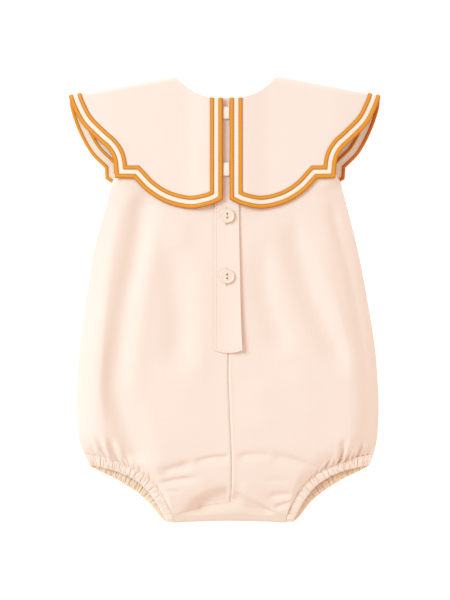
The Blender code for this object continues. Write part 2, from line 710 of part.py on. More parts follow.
def rising_from(curve, height):
    """The part of a falling curve down to this height."""
    keep = curve[curve[:, 1] > height]
    below = curve[len(keep)]
    share = (keep[-1, 1] - height) / (keep[-1, 1] - below[1])
    return np.vstack([keep, keep[-1] + share * (below - keep[-1])])


def gusset_net():
    """Outer points of the crotch strip, rows from the back seam over the fold to the front seam."""
    u = np.linspace(0, 1, 9)
    seams = [gusset_seam("left")[::-1], gusset_seam("right")]
    back = joined(seams, u, [0.5])
    back[:, 1] -= SEAM_GAP
    sides = [body_curve(FRONT_LEG_SEAM, side) for side in SIDES]
    front = along([rising_from(curve, GUSSET_FRONT)[-1] for curve in sides], u)
    front[:, 1] -= SEAM_GAP
    across = 2 * u - 1
    fold = np.column_stack([
        centre_line(CROTCH_FOLD) + (FRONT_LEG_SEAM[-1].half_width - 2 * SEAM_GAP) * across,
        CROTCH_FOLD + CROTCH_ARCH * (1 - across**2),
    ])
    ends = np.array([1 - 2 * SEAM_GAP / 50.0, 1.0])
    middle = np.array([centre_line(GUSSET_FRONT), 0])
    back = middle + (back - middle) * ends
    front = middle + (front - middle) * ends
    rows = []
    tall = crown(fold[:, 0], fold[:, 1] + CROTCH_ROUND)
    for share in (0.0, 0.4, 0.8):
        plan = back + share * (fold + np.array([0, CROTCH_ROUND]) - back)
        rows.append(np.column_stack([plan, crown(plan[:, 0], plan[:, 1])]))
    for turn in np.radians([90, 60, 30, 0, -30, -60, -90]):
        y = fold[:, 1] + CROTCH_ROUND * (1 - np.cos(turn))
        rows.append(np.column_stack([fold[:, 0], y, tall / 2 * (1 + np.sin(turn))]))
    for share in (0.3, 0.65, 1.0):
        plan = fold + np.array([0, CROTCH_ROUND]) + share * (front - fold - np.array([0, CROTCH_ROUND]))
        rows.append(np.column_stack([plan, np.zeros_like(u)]))
    return np.array(rows)


def build_body():
    for side in SIDES:
        outer, inner = back_net(side)
        turn = int(SIDES[side])
        wall(f"back_{side}", outer[:, ::turn], inner[:, ::turn], PEACH)
    outer, inner = front_net()
    wall("front", outer[:, ::-1], inner[:, ::-1], PEACH)
    cloth("crotch_gusset", gusset_net()[::-1], BODY_CLOTH, PEACH)


# ---- leg casings ----------------------------------------------------------------------------
CASING_RING = [(0, 0), (1, 0), (1, 0.55), (0.76, 1), (0.24, 1), (0, 0.55)]


def casing(name, hem, seam, rise):
    """A gathered band between its free edge and its seam, with one wave for each gather."""
    stations = 2 * CASING_WAVES + 1
    shares = np.linspace(0, 1, stations)
    uneven = shares + 0.25 / stations * np.sin(np.arange(stations) * 2.4) * (shares > 0) * (shares < 1)
    outer, inner = along(hem, uneven), along(seam, uneven)
    low = look_up(rise, shares)[0]
    tucked = (np.arange(stations) % 2)[:, None]
    across = (inner - outer) / np.linalg.norm(inner - outer, axis=1)[:, None]
    outer = outer + across * tucked * CASING_WAVE_EDGE
    rings = []
    for share, height in CASING_RING:
        plan = outer + share * (inner - outer)
        thick = CASING_THICK - tucked[:, 0] * CASING_WAVE_DEPTH
        rings.append(np.column_stack([plan, low + height * thick]))
    loft(name, np.stack(rings, axis=1), PEACH)


def build_casings():
    flat = [RiseShare(0, 0), RiseShare(0.5, 0), RiseShare(1, 0)]
    for side in SIDES:
        back = body_curve(BACK_LEG_HEM, side), body_curve(BACK_LEG_SEAM, side)
        front = body_curve(FRONT_LEG_HEM, side), body_curve(FRONT_LEG_SEAM, side)
        casing(f"leg_casing_back_{side}", *back, BACK_CASING_RISE)
        casing(f"leg_casing_front_{side}", *front, flat)


# ---- placket, tabs and buttons ----------------------------------------------------------------
def band_net(left, right, y, u, height):
    """A strip's upper points, rows along y and columns across, raised over the back."""
    x = left[:, None] + (right - left)[:, None] * u[None]
    y = y * np.ones_like(x)
    return np.stack([x, y, back_height(x, y) + height], axis=-1)


def build_placket():
    v = np.linspace(0, 1, PLACKET_ROWS)
    u = np.linspace(0, 1, PLACKET_COLUMNS)
    low, high = PLACKET[0].height, PLACKET[-1].height
    y = low + (high - low) * v
    left, right, lift = look_up(PLACKET, y)
    dip = PLACKET_DIP * (1 - (2 * u - 1) ** 2)[None] * ((1 - v) ** 8)[:, None]
    raised = LAY_GAP + BODY_CLOTH + lift[:, None] * (u**3)[None]
    cloth("placket", band_net(left, right, y[:, None] - dip, u, raised), BODY_CLOTH, PEACH)


def build_tabs():
    on_placket = LAY_GAP + BODY_CLOTH + SEAM_GAP + TAB_THICK
    for tab in TABS:
        y = np.linspace(tab.low, tab.high, 4)
        edges = np.ones(4)
        net = band_net(TAB_LEFT * edges, TAB_RIGHT * edges, y[:, None], np.linspace(0, 1, 5), on_placket)
        cloth(tab.name, net, TAB_THICK, CREAM)


def build_buttons():
    for button in BUTTONS:
        under = back_height(np.array(button.x), np.array(button.y)) + LAY_GAP + BODY_CLOTH + SEAM_GAP
        ahead = back_height(np.array(button.x), np.array(button.y + BUTTON_RADIUS))
        behind = back_height(np.array(button.x), np.array(button.y - BUTTON_RADIUS))
        slope = np.arctan((ahead - behind) / (2 * BUTTON_RADIUS))
        mesh = bpy.data.meshes.new(button.name)
        points = [(radius * MM, 0, height * MM) for radius, height in BUTTON_PROFILE]
        mesh.from_pydata(points, [(k, k + 1) for k in range(len(points) - 1)], [])
        obj = bpy.data.objects.new(button.name, mesh)
        GARMENT.objects.link(obj)
        mesh.materials.append(material(button.name, CREAM))
        turned = obj.modifiers.new("Turned", "SCREW")
        turned.steps = turned.render_steps = BUTTON_SIDES
        turned.use_merge_vertices = True
        turned.merge_threshold = 0.00002
        for place in (-0.5, 0.5):
            drill = hole_cutter(button.name, place * BUTTON_HOLE_SPACING)
            drill.parent = obj
            cut = obj.modifiers.new("Hole", "BOOLEAN")
            cut.operation = "DIFFERENCE"
            cut.object = drill
        obj.matrix_world = Matrix.Translation(
            (button.x * MM, button.y * MM, (float(under) + BUTTON_STAND) * MM)
        ) @ Matrix.Rotation(float(slope), 4, "X")


def hole_cutter(name, y):
    """A cylinder for one of a button's two holes, which lie along the garment's length."""
    body = bmesh.new()
    bmesh.ops.create_cone(
        body, cap_ends=True, segments=10, radius1=BUTTON_HOLE_RADIUS * MM, radius2=BUTTON_HOLE_RADIUS * MM,
        depth=8 * MM, matrix=Matrix.Translation((0, y * MM, 0)),
    )
    mesh = bpy.data.meshes.new(f"{name}_hole")
    body.to_mesh(mesh)
    body.free()
    cutter = bpy.data.objects.new(f"{name}_hole", mesh)
    cutter.hide_render = True
    cutter.display_type = "WIRE"
    CUTTERS.objects.link(cutter)
    return cutter


# ---- collar ---------------------------------------------------------------------------------
NEAR_CREST = 1 - quarter_steps(0.07, 5)[::-1]
RunShares = namedtuple("RunShares", "opening scallop step cap")
RUN_SHARES = RunShares(
    opening=np.linspace(0, 1, 6),
    scallop=np.linspace(0, 1, 11),
    step=np.linspace(0, 1, 3),
    cap=np.append(np.linspace(0, 0.85, 9), NEAR_CREST),
)


def back_border(side, distance):
    """The back flap's edge runs, moved in: opening, scallop, step and cap."""
    turn = SIDES[side]
    parts = (BACK_OPENING, BACK_SCALLOP, BACK_STEP, BACK_CAP)
    runs = moved_in([collar_curve(part, side) for part in parts], distance, turn)
    return runs[:-1] + [ended_at_crest(runs[-1])]


def front_border(distance):
    """The front collar's edge runs, moved in: cap, step and scallop, and the same mirrored."""
    right = [collar_curve(part, "right") for part in (FRONT_SCALLOP, FRONT_STEP, FRONT_CAP)]
    left = [collar_curve(part, "left")[::-1] for part in (FRONT_CAP, FRONT_STEP, FRONT_SCALLOP)]
    runs = moved_in(left + right, distance, 1.0)
    return [ended_at_crest(runs[0][::-1])[::-1]] + runs[1:-1] + [ended_at_crest(runs[-1])]


def border_strip(name, border, shares, band, surface, look):
    """A raised strip that follows the border between the band's two distances."""
    rails = []
    for distance in (band.start, band.end):
        points = [along(run, at) for run, at in zip(border(distance), shares)]
        rails.append(np.vstack([points[0]] + [run[1:] for run in points[1:]]))
    middle = band.low + 0.55 * (band.high - band.low)
    ring = [(0, band.low), (1, band.low), (1, middle), (0.75, band.high), (0.25, band.high), (0, middle)]
    if band is TAPE:
        ring = [(0, band.low), (1, band.low), (1, band.high), (0, band.high)]
    sides = []
    for share, lift in ring:
        plan = rails[0] + share * (rails[1] - rails[0])
        sides.append(surface(plan[:, 0], plan[:, 1], lift))
    loft(name, np.stack(sides, axis=1), look)


def flap_net(side):
    """Outer points of one back flap, rows from the scallop up, columns from the opening out."""
    opening, scallop, step, cap = back_border(side, CLOTH_EDGE)
    near_neck = 0.32 * (1 - quarter_steps(NECK_ROUND / NECKLINE_HALF, 4)[::-1])
    u = np.concatenate([np.linspace(0, 0.22, 4), near_neck, np.linspace(0.4, 0.82, 7), [0.88, 0.94, 1]])
    v = RUN_SHARES.cap
    bottom = joined([scallop, step], u, [0.82])
    neck = collar_curve(BACK_NECKLINE, side)
    neck = neck[np.abs(neck[:, 0] - opening[0, 0]).argmin():]
    neck[0] = opening[0]
    shoulder = np.array([neck[-1], cap[-1]])
    top = joined([neck, shoulder], u, [0.32])
    plan = coons(bottom, top, along(opening[::-1], v), along(cap, v), u, v)
    x, y = plan[..., 0], plan[..., 1]
    return on_flap(x, y, 0), on_flap(x, y, -COLLAR_CLOTH)


def front_collar_net():
    """Outer points of the front collar, which face down, rows from the scallop up."""
    cap, step, scallop, scallop_right, step_right, cap_right = front_border(CLOTH_EDGE)
    corner = 0.28
    near_neck = corner + (0.5 - corner) * quarter_steps(NECK_ROUND / FRONT_NECKLINE_HALF, 4)
    half = np.concatenate([np.linspace(0, corner, 7)[:-1], near_neck, [0.35, 0.40, 0.45, 0.5]])
    u = np.concatenate([half, (1 - half[:-1])[::-1]])
    v = np.concatenate([[0, 0.045, 0.09], np.linspace(0.18, 0.92, 7), NEAR_CREST])
    bottom = joined([scallop, scallop_right], u, [0.5])
    necks = {side: collar_curve(FRONT_NECKLINE, side) for side in SIDES}
    shoulders = [np.array([cap[0], necks["left"][0]]), np.array([necks["right"][0], cap_right[-1]])]
    neckline = np.vstack([necks["left"], necks["right"][::-1][1:]])
    top = joined([shoulders[0], neckline, shoulders[1]], u, [corner, 1 - corner])
    left = joined([step[::-1], cap[::-1]], v, [0.09])
    right = joined([step_right, cap_right], v, [0.09])
    plan = coons(bottom, top, left, right, u, v)
    x, y = plan[..., 0], plan[..., 1]
    return on_front_collar(x, y, -COLLAR_CLOTH), on_front_collar(x, y, 0)


def build_collar():
    for side in SIDES:
        outer, inner = flap_net(side)
        turn = int(SIDES[side])
        wall(f"collar_back_{side}", outer[:, ::turn], inner[:, ::turn], PEACH)
    outer, inner = front_collar_net()
    wall("collar_front", outer[:, ::-1], inner[:, ::-1], PEACH)
    looks = {"binding": ORANGE, "tape": IVORY, "cord": ORANGE}
    shares = RUN_SHARES
    front = [1 - shares.cap[::-1], shares.step, shares.scallop, shares.scallop, shares.step, shares.cap]
    for band in (BINDING, TAPE, CORD):
        for side in SIDES:
            name = f"collar_{band.name}_back_{side}"
            border_strip(name, partial(back_border, side), shares, band, on_flap, looks[band.name])
        name = f"collar_{band.name}_front"
        border_strip(name, front_border, front, band, on_front_collar, looks[band.name])


# ---- the whole garment ------------------------------------------------------------------------
for old in list(bpy.data.objects):
    bpy.data.objects.remove(old, do_unlink=True)
GARMENT = bpy.data.collections.new("baby_bodysuit")
CUTTERS = bpy.data.collections.new("cutters")
bpy.context.scene.collection.children.link(GARMENT)
bpy.context.scene.collection.children.link(CUTTERS)

build_body()
build_casings()
build_collar()
build_placket()
build_tabs()
build_buttons()
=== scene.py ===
"""Looks of a sleeveless baby bodysuit with a wide scalloped collar, laid flat on its front.

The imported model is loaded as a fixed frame, and each of its soft nodes gets a detailed piece that
stands for it. The back faces up: Z is up, +Y runs from the crotch to the neck, and +X to the right of
the back view. Sizes below are millimetres, and meshes are made in metres.
"""

from __future__ import annotations

import logging
import math
from collections.abc import Callable, Sequence
from dataclasses import dataclass, field
from enum import Enum

import bpy
import numpy as np
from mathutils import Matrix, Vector


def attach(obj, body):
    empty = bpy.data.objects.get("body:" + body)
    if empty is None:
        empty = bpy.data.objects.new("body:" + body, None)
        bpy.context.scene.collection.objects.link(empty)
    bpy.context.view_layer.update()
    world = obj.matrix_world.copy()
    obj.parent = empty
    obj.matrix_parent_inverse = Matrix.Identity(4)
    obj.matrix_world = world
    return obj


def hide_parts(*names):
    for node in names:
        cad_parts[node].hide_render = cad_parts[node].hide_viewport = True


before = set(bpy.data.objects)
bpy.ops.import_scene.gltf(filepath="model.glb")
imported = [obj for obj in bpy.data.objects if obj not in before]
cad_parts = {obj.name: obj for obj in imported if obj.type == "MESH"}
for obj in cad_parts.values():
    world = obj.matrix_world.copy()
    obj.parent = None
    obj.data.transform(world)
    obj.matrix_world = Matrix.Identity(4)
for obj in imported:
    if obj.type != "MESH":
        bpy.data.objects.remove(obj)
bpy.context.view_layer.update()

MM = 0.001
GRAIN = "grain"   # the map that holds each corner's place on the flat cloth
SHADE_ATTRIBUTE = "sides"   # the attribute of painted shade, which marks tucks and turned edges
RIM_ROWS = 3   # rows between the two faces of a cloth's rim
Array = np.ndarray
Pair = tuple[float, float]
Triple = tuple[float, float, float]
Colour = Triple
Pairs = tuple[tuple[float, ...], ...]
Material = bpy.types.Material
Piece = bpy.types.Object
log = logging.getLogger("bodysuit")


class Side(Enum):
    """A side of the garment as its back is seen; the value is the sign of its x."""

    LEFT = -1.0
    RIGHT = 1.0

    @property
    def label(self) -> str:
        """The side as the frame's node names give it."""
        return self.name.lower()


class Slot(Enum):
    """The record's material slots."""

    BODY = "body_cloth"
    COLLAR = "collar_cloth"
    ORANGE = "trim_orange"
    IVORY = "trim_ivory"
    BUTTON = "button"


# ---- curves ----
def smooth(points: Sequence | Array, per_span: int = 16) -> Array:
    """A Catmull-Rom curve: each span is a cubic through its two points and along its neighbours.

    Args:
        points: the places that the curve runs through.
        per_span: chords between two places.

    Returns:
        The curve's points, one row each.
    """
    p = np.asarray(points, float)
    p = np.vstack([2 * p[0] - p[1], p, 2 * p[-1] - p[-2]])
    t = (np.arange(per_span) / per_span)[None, :, None]
    a, b, c, d = (p[k:len(p) - 3 + k, None] for k in range(4))
    spans = 0.5 * (2 * b + (c - a) * t + (2 * a - 5 * b + 4 * c - d) * t**2 + (3 * b - 3 * c + d - a) * t**3)
    return np.vstack([spans.reshape(-1, p.shape[1]), p[-2:-1]])


def lengths(curve: Array) -> Array:
    """Distance along a curve at each of its points."""
    return np.append(0, np.cumsum(np.linalg.norm(np.diff(curve, axis=0), axis=1)))


def along(curve: Sequence | Array, shares: Sequence | Array) -> Array:
    """Points of a curve at shares of its length, straight between its own points.

    Args:
        curve: the curve's points.
        shares: from 0 at its start to 1 at its end.

    Returns:
        One point for each share.
    """
    curve = np.asarray(curve, float)
    at = lengths(curve)
    wanted = np.asarray(shares, float) * at[-1]
    return np.stack([np.interp(wanted, at, curve[:, k]) for k in range(curve.shape[1])], axis=-1)


def joined(runs: Sequence[Array], shares: Array, corners: Sequence[float]) -> Array:
    """Points along runs that follow each other.

    Args:
        runs: the curves, end to end.
        shares: the places wanted, from 0 to 1 over all of the runs.
        corners: the shares at which one run gives way to the next.

    Returns:
        One point for each share.
    """
    limits = [0.0, *corners, 1.0]
    points = along(runs[0], np.clip(shares / limits[1], 0, 1))
    for run, low, high in zip(runs[1:], limits[1:-1], limits[2:]):
        here = along(run, np.clip((shares - low) / (high - low), 0, 1))
        points = np.where((shares > low)[:, None], here, points)
    return points


def look_up(rows: Pairs, at: Array) -> list[Array]:
    """The later columns of a table of rows, at values of its first column, joined smoothly."""
    curve = smooth(sorted(rows))
    return [np.interp(at, curve[:, 0], curve[:, k]) for k in range(1, curve.shape[1])]


def patch(bottom: Array, top: Array, left: Array, right: Array, u: Array, v: Array) -> Array:
    """A four-sided Coons patch: its ends blended, plus its sides blended, less its corners blended.

    Args:
        bottom, top: the ends, one point for each u.
        left, right: the sides, one point for each v.
        u, v: shares across and along.

    Returns:
        The net, rows along v by columns along u.
    """
    u, v = u[None, :, None], v[:, None, None]
    ends = (1 - v) * bottom[None] + v * top[None]
    sides = (1 - u) * left[:, None] + u * right[:, None]
    corners = (1 - u) * ((1 - v) * bottom[0] + v * top[0]) + u * ((1 - v) * bottom[-1] + v * top[-1])
    return ends + sides - corners


def beside(run: Array, distance: float, turn: float) -> Array:
    """A run moved sideways, mitred at its points, with a straight lead at either end.

    Args:
        run: the run's points.
        distance: how far it moves, and half of each lead.
        turn: 1 to its left, -1 to its right.

    Returns:
        The moved points.
    """
    steps = np.diff(run, axis=0)
    steps = steps / np.linalg.norm(steps, axis=1)[:, None]
    normals = turn * np.stack([-steps[:, 1], steps[:, 0]], axis=-1)
    before, after = np.vstack([normals[:1], normals]), np.vstack([normals, normals[-1:]])
    moved = run + distance * (before + after) / (1 + (before * after).sum(axis=1))[:, None]
    lead = 2 * distance
    return np.vstack([moved[:1] - lead * steps[0], moved, moved[-1:] + lead * steps[-1]])


def crossing(first: Array, second: Array) -> tuple[int, int, Array]:
    """Where two runs cross, by solving each pair of segments for their common point.

    Args:
        first, second: the runs.

    Returns:
        The last segment of the first run that crosses, the second run's segment, and the place.
    """
    p, r = first[:-1, None], np.diff(first, axis=0)[:, None]
    q, s = second[None, :-1], np.diff(second, axis=0)[None]
    area = r[..., 0] * s[..., 1] - r[..., 1] * s[..., 0]
    area = np.where(np.abs(area) < 1e-9, np.inf, area)
    gap = q - p
    t = (gap[..., 0] * s[..., 1] - gap[..., 1] * s[..., 0]) / area
    w = (gap[..., 0] * r[..., 1] - gap[..., 1] * r[..., 0]) / area
    hits = np.argwhere((t >= 0) & (t <= 1) & (w >= 0) & (w <= 1))
    i, j = hits[hits[:, 0].argmax()]
    return int(i), int(j), first[i] + t[i, j] * (first[i + 1] - first[i])


def moved_in(runs: Sequence[Array], distance: float, turn: float) -> list[Array]:
    """Runs that follow each other, moved to one side and cut where they meet again.

    Args:
        runs: the curves, end to end.
        distance: how far they move.
        turn: 1 to their left, -1 to their right.

    Returns:
        The moved runs, still end to end.
    """
    moved = [beside(run, distance, turn) for run in runs]
    for k in range(len(moved) - 1):
        i, j, corner = crossing(moved[k], moved[k + 1])
        moved[k] = np.vstack([moved[k][:i + 1], corner])
        moved[k + 1] = np.vstack([corner, moved[k + 1][j + 1:]])
    moved[0], moved[-1] = moved[0][1:], moved[-1][:-1]
    return moved


def pulled_to(edge: Array, first: Array, last: Array) -> Array:
    """An edge whose ends move to two places, the rest following in proportion."""
    share = (lengths(edge) / lengths(edge)[-1])[:, None]
    return edge + (1 - share) * (first - edge[0]) + share * (last - edge[-1])


def down_to(curve: Array, height: float) -> Array:
    """The part of a falling curve down to a height.

    Args:
        curve: its points, x and y.
        height: the y at which it is cut.

    Returns:
        The points, the last one at that height.
    """
    keep = curve[curve[:, 1] > height]
    below = curve[len(keep)]
    share = (keep[-1, 1] - height) / (keep[-1, 1] - below[1])
    return np.vstack([keep, keep[-1] + share * (below - keep[-1])])


def ease(x: Array | float) -> Array:
    """A smooth step from 0 to 1: three times the square less twice the cube."""
    x = np.clip(x, 0, 1)
    return x * x * (3 - 2 * x)


def quarter(distance: Array, reach: Array | float) -> Array:
    """A quarter ellipse: 0 and upright at an edge, 1 from the reach inwards."""
    return np.sqrt(1 - (1 - np.clip(distance / reach, 0, 1)) ** 2)


def quarter_steps(reach: float, count: int) -> Array:
    """Distances from an edge that divide a quarter ellipse evenly."""
    return reach * (1 - np.cos(np.linspace(0, np.pi / 2, count)))


def quarter_turn(distance: Array, radius: Array) -> Array:
    """The angle round a quarter circle at a distance in from its outermost point."""
    return np.arccos(1 - np.clip(distance / radius, 0, 1))


def steps(*parts: Sequence | Array, least: float = 0.0012) -> Array:
    """The shares of all the parts in rising order, less those that nearly repeat another.

    Args:
        parts: the lists of shares.
        least: the gap under which one is left out.

    Returns:
        The shares, whose first and last always stay.
    """
    every = np.unique(np.concatenate([np.asarray(part, float) for part in parts]))
    keep = np.append(True, np.diff(every) > least)
    keep[-1] = True
    keep[-2] &= every[-1] - every[-2] > least
    return every[keep]


def tight(values: Array, by: float) -> Array:
    """The same steps with one more just inside either end, so that shading turns only at the rim."""
    return np.concatenate([values[:1], values[:1] + by, values[1:-1], values[-1:] - by, values[-1:]])


def level_in(edge: Array, turn: float) -> Array:
    """Level unit vectors at right angles to an edge.

    Args:
        edge: its points.
        turn: 1 for vectors to its left, -1 to its right.

    Returns:
        One vector for each point.
    """
    step = np.gradient(edge[:, :2], axis=0)
    across = turn * np.stack([-step[:, 1], step[:, 0], np.zeros(len(step))], axis=-1)
    return across / np.linalg.norm(across, axis=-1)[:, None]


def lean(risen: Array) -> Array:
    """How far a wall leans over where a quarter ellipse has risen this much: level 1, upright 0."""
    return np.sqrt(np.clip(1 - risen**2, 0, 1))[..., None]


def unit(vectors: Array) -> Array:
    """The vectors at length 1."""
    return vectors / np.maximum(np.linalg.norm(vectors, axis=-1, keepdims=True), 1e-9)


def bell(distance: Array, width: Array | float) -> Array:
    """A bell: e to the power of less the square of the distance over the width."""
    return np.exp(-((distance / width) ** 2))


def turns(count: int) -> Array:
    """Even angles once round."""
    return np.linspace(0, 2 * np.pi, count, endpoint=False)


def squared(wave: Array, square: float) -> Array:
    """A superellipse's sine or cosine: its sign times its size to the power of 2 over the square."""
    return np.sign(wave) * np.abs(wave) ** (2 / square)


def apart(first: Array, second: Array) -> Array:
    """Distances between points."""
    return np.linalg.norm(first - second, axis=-1)


def mirrored(half: Array) -> Array:
    """Shares from 0 to 0.5, and the same mirrored up to 1."""
    return np.concatenate([half, (1 - half[:-1])[::-1]])


def points_of(*parts: Array) -> Array:
    """Coordinates, spread to one shape, as points."""
    return np.stack(np.broadcast_arrays(*parts), axis=-1)


# ---- outline ----
@dataclass(frozen=True)
class Outline:
    """The garment's edges as half widths and heights from its centre lines, in millimetres."""

    side_seam: Pairs = (   # height, half width, centre
        (102, 99.4, 1.9), (80, 105.2, 2), (38, 116.3, 1.4), (-4, 123.6, 2.1), (-45, 129.6, 2.4),
        (-87, 132.2, 2.7), (-116, 131.2, 2.8), (-129, 128.6, 3.4), (-136, 125.9, 3.9),
    )
    armhole: Pairs = ((99.4, 102), (91, 118), (86, 140), (86, 163), (89, 183.2))
    shoulder_end: float = 89.0
    back_leg_hem: Pairs = (
        (122.4, -144), (110, -146.4), (97, -149.9), (84.5, -155.6), (74, -163.5), (66, -173.4),
        (60.3, -183.2), (54.6, -193.7),
    )
    back_leg_seam: Pairs = (
        (125.5, -136), (111, -138.3), (97, -142.5), (84, -147.8), (73, -154.3), (63.6, -163.8),
        (55.6, -175.5), (50.5, -185), (49, -193.7),
    )
    front_leg_hem: Pairs = (
        (122.5, -145), (111.5, -150.8), (101, -155.7), (91, -161.8), (81, -168.3), (70.6, -177.4),
        (60.5, -190), (55, -194.4),
    )
    front_leg_seam: Pairs = (
        (125.5, -136.6), (112, -142.5), (99.5, -147.7), (88, -154), (77, -161.3), (66, -170.8),
        (55.6, -183.5), (49, -194),
    )
    centre_at_neck: float = 1.5
    centre_at_crotch: float = 4.6
    seam_line: Pairs = (   # height and x of the sewn centre seam
        (-200, 4.8), (-176, 5.1), (-165, 5.8), (-139, 6.1), (-99, 4.5), (-70, 3.3), (-45, 3.3), (0, 2.6),
        (100, 1.5), (200, 1.5),
    )
    gusset_top: float = -175.9
    gusset_sag: float = 1.2
    gusset_back_share: float = 0.93
    gusset_front: float = -184.6
    crotch_fold: float = -194.6
    crotch_round: float = 5.0
    crotch_arch: float = 1.6

    collar_centre: float = 1.5
    left_stretch: float = 1.01
    right_stretch: float = 0.99
    neck_point: Pair = (45.2, 194.8)
    collar_tip: Pair = (136, 178)
    back_neckline: Pairs = ((2.9, 174.8), (14, 175.4), (26, 179.2), (36.5, 186.4), (45.2, 194.8))
    front_neckline: Pairs = ((45.2, 194.8), (40, 176), (29, 161), (15, 152.5), (0, 150))
    back_opening: Pairs = ((2.9, 174.8), (2.9, 86.6))
    back_scallop: Pairs = (
        (2.9, 86.6), (15, 81.4), (32, 78.9), (52, 83.7), (68, 93.4), (79.4, 105.2),
    )
    back_step: Pairs = ((79.4, 105.2), (95.4, 105.4))
    back_cap: Pairs = (
        (95.4, 105.4), (97.2, 121.4), (102, 130.6), (110.4, 138.4), (124.2, 152.6), (132.2, 167.4),
        (136, 178),
    )
    front_scallop: Pairs = (
        (0, 88), (18, 82), (44, 80), (72, 87), (96, 100.4), (104.6, 105.6),
    )
    front_step: Pairs = ((104.6, 105.6), (105.2, 115.4))
    front_cap: Pairs = ((105.2, 115.4), (117.6, 128.2), (127.7, 146.6), (134.3, 165.2), (136, 178))

    def centre_line(self, y: Array | float) -> Array:
        """X of the body's centre line: straight from the crotch to the neck."""
        return np.interp(y, [self.crotch_fold, 100], [self.centre_at_crotch, self.centre_at_neck])

    def seam_x(self, y: Array | float) -> Array:
        """X of the centre back seam, which wanders a little beside the centre line."""
        return look_up(self.seam_line, np.asarray(y, float))[0]

    def body_curve(self, points: Pairs, side: Side) -> Array:
        """A body edge as x and y: the centre line plus or minus the half widths."""
        return smooth([(self.centre_line(height) + side.value * half, height) for half, height in points])

    def body_side(self, side: Side) -> Array:
        """The side edge from the leg casing past the underarm to the shoulder end.

        Args:
            side: which side.

        Returns:
            Its points, with the armhole moved so that it starts where the seam ends.
        """
        rising = self.side_seam[::-1]
        seam = smooth([(centre + side.value * half, height) for height, half, centre in rising])
        arm = self.body_curve(self.armhole, side)
        return np.vstack([seam, arm[1:] + seam[-1] - arm[0]])

    def collar_curve(self, points: Pairs, side: Side) -> Array:
        """A collar edge as x and y: the collar's centre plus or minus the stretched half widths."""
        reach = -self.left_stretch if side is Side.LEFT else self.right_stretch
        return smooth([(self.collar_centre + reach * half, height) for half, height in points])

    def crest(self, x: Array) -> Array:
        """Y of the shoulder fold: one straight line falling to each collar tip.

        Args:
            x: places across the garment.

        Returns:
            The fold's y there.
        """
        stretch = np.where(x < self.collar_centre, self.left_stretch, self.right_stretch)
        half = np.abs(x - self.collar_centre) / stretch
        (neck, high), (tip, low) = self.neck_point, self.collar_tip
        return high + (low - high) / (tip - neck) * (half - neck)

    def ended_at_crest(self, run: Array) -> Array:
        """A rising run cut off where it meets the shoulder fold.

        Args:
            run: its points.

        Returns:
            The points up to the fold, or all of them where it stays below.
        """
        over = run[:, 1] - self.crest(run[:, 0])
        if over[-1] <= 0:
            return run
        cut = int(np.argmax(over > 0))
        share = -over[cut - 1] / (over[cut] - over[cut - 1])
        return np.vstack([run[:cut], run[cut - 1] + share * (run[cut] - run[cut - 1])])

    def gusset_seam(self, side: Side) -> Array:
        """The seam over the crotch, from the centre back to the leg casing.

        Args:
            side: which side.

        Returns:
            A curve through the ends and a place a little over their middle.
        """
        end = along(self.body_curve(self.back_leg_seam, side), [self.gusset_back_share])[0]
        middle = np.array([self.seam_x(self.gusset_top), self.gusset_top])
        return smooth([middle, 0.5 * (middle + end) + np.array([0, self.gusset_sag]), end])


# ---- heights ----
CREASE_CHORDS = 10   # chords between two of a crease's places
CREASE_REACH = 2.6   # widths from its line at which its bell has ended


@dataclass(frozen=True)
class Crease:
    """A soft trough along a smooth line through places on the cloth, or a ridge where depth is under 0.

    Its depth falls off as a bell across the line, over one width to the left of its direction and
    another to the right, and fades out over a share of the line at either end.
    """

    places: Pairs
    depth: float
    left: float
    right: float
    fade: float = 0.3

    def drop(self, x: Array, y: Array) -> Array:
        """The crease's depth at these points.

        Args:
            x, y: the points, in arrays of one shape.

        Returns:
            The depth in millimetres, worked out only near the line.
        """
        line = smooth(self.places, CREASE_CHORDS)
        reach = CREASE_REACH * max(self.left, self.right)
        low, high = line.min(axis=0) - reach, line.max(axis=0) + reach
        near = (x > low[0]) & (x < high[0]) & (y > low[1]) & (y < high[1])
        points = np.stack([x[near], y[near]], axis=-1)
        start, step = line[:-1], np.diff(line, axis=0)
        gap = points[:, None] - start[None]
        share = np.clip((gap * step).sum(axis=-1) / (step**2).sum(axis=-1), 0, 1)
        off = gap - share[..., None] * step
        distance = np.linalg.norm(off, axis=-1)
        best = distance.argmin(axis=1)
        rows = np.arange(len(points))
        place = (best + share[rows, best]) / len(step)
        aside = step[best, 0] * off[rows, best, 1] - step[best, 1] * off[rows, best, 0]
        width = np.where(aside > 0, self.left, self.right)
        faded = self.depth * ease(place / self.fade) * ease((1 - place) / self.fade)
        out = np.zeros_like(x)
        out[near] = faded * bell(distance[rows, best], width)
        return out


@dataclass(frozen=True)
class Gather:
    """A tuck that fans up from a leg seam: its share of the seam, reach, depth, width and lean."""

    share: float
    length: float
    depth: float
    width: float = 2.8
    lean: float = 0.0


@dataclass(frozen=True)
class Swing:
    """A value made uneven from one whole number to the next."""

    middle: float
    swing: float
    rate: float

    def at(self, number: Array, start: float) -> Array:
        """The middle, plus the swing times the sine of the number at the rate."""
        return self.middle + self.swing * np.sin(number * self.rate + start)


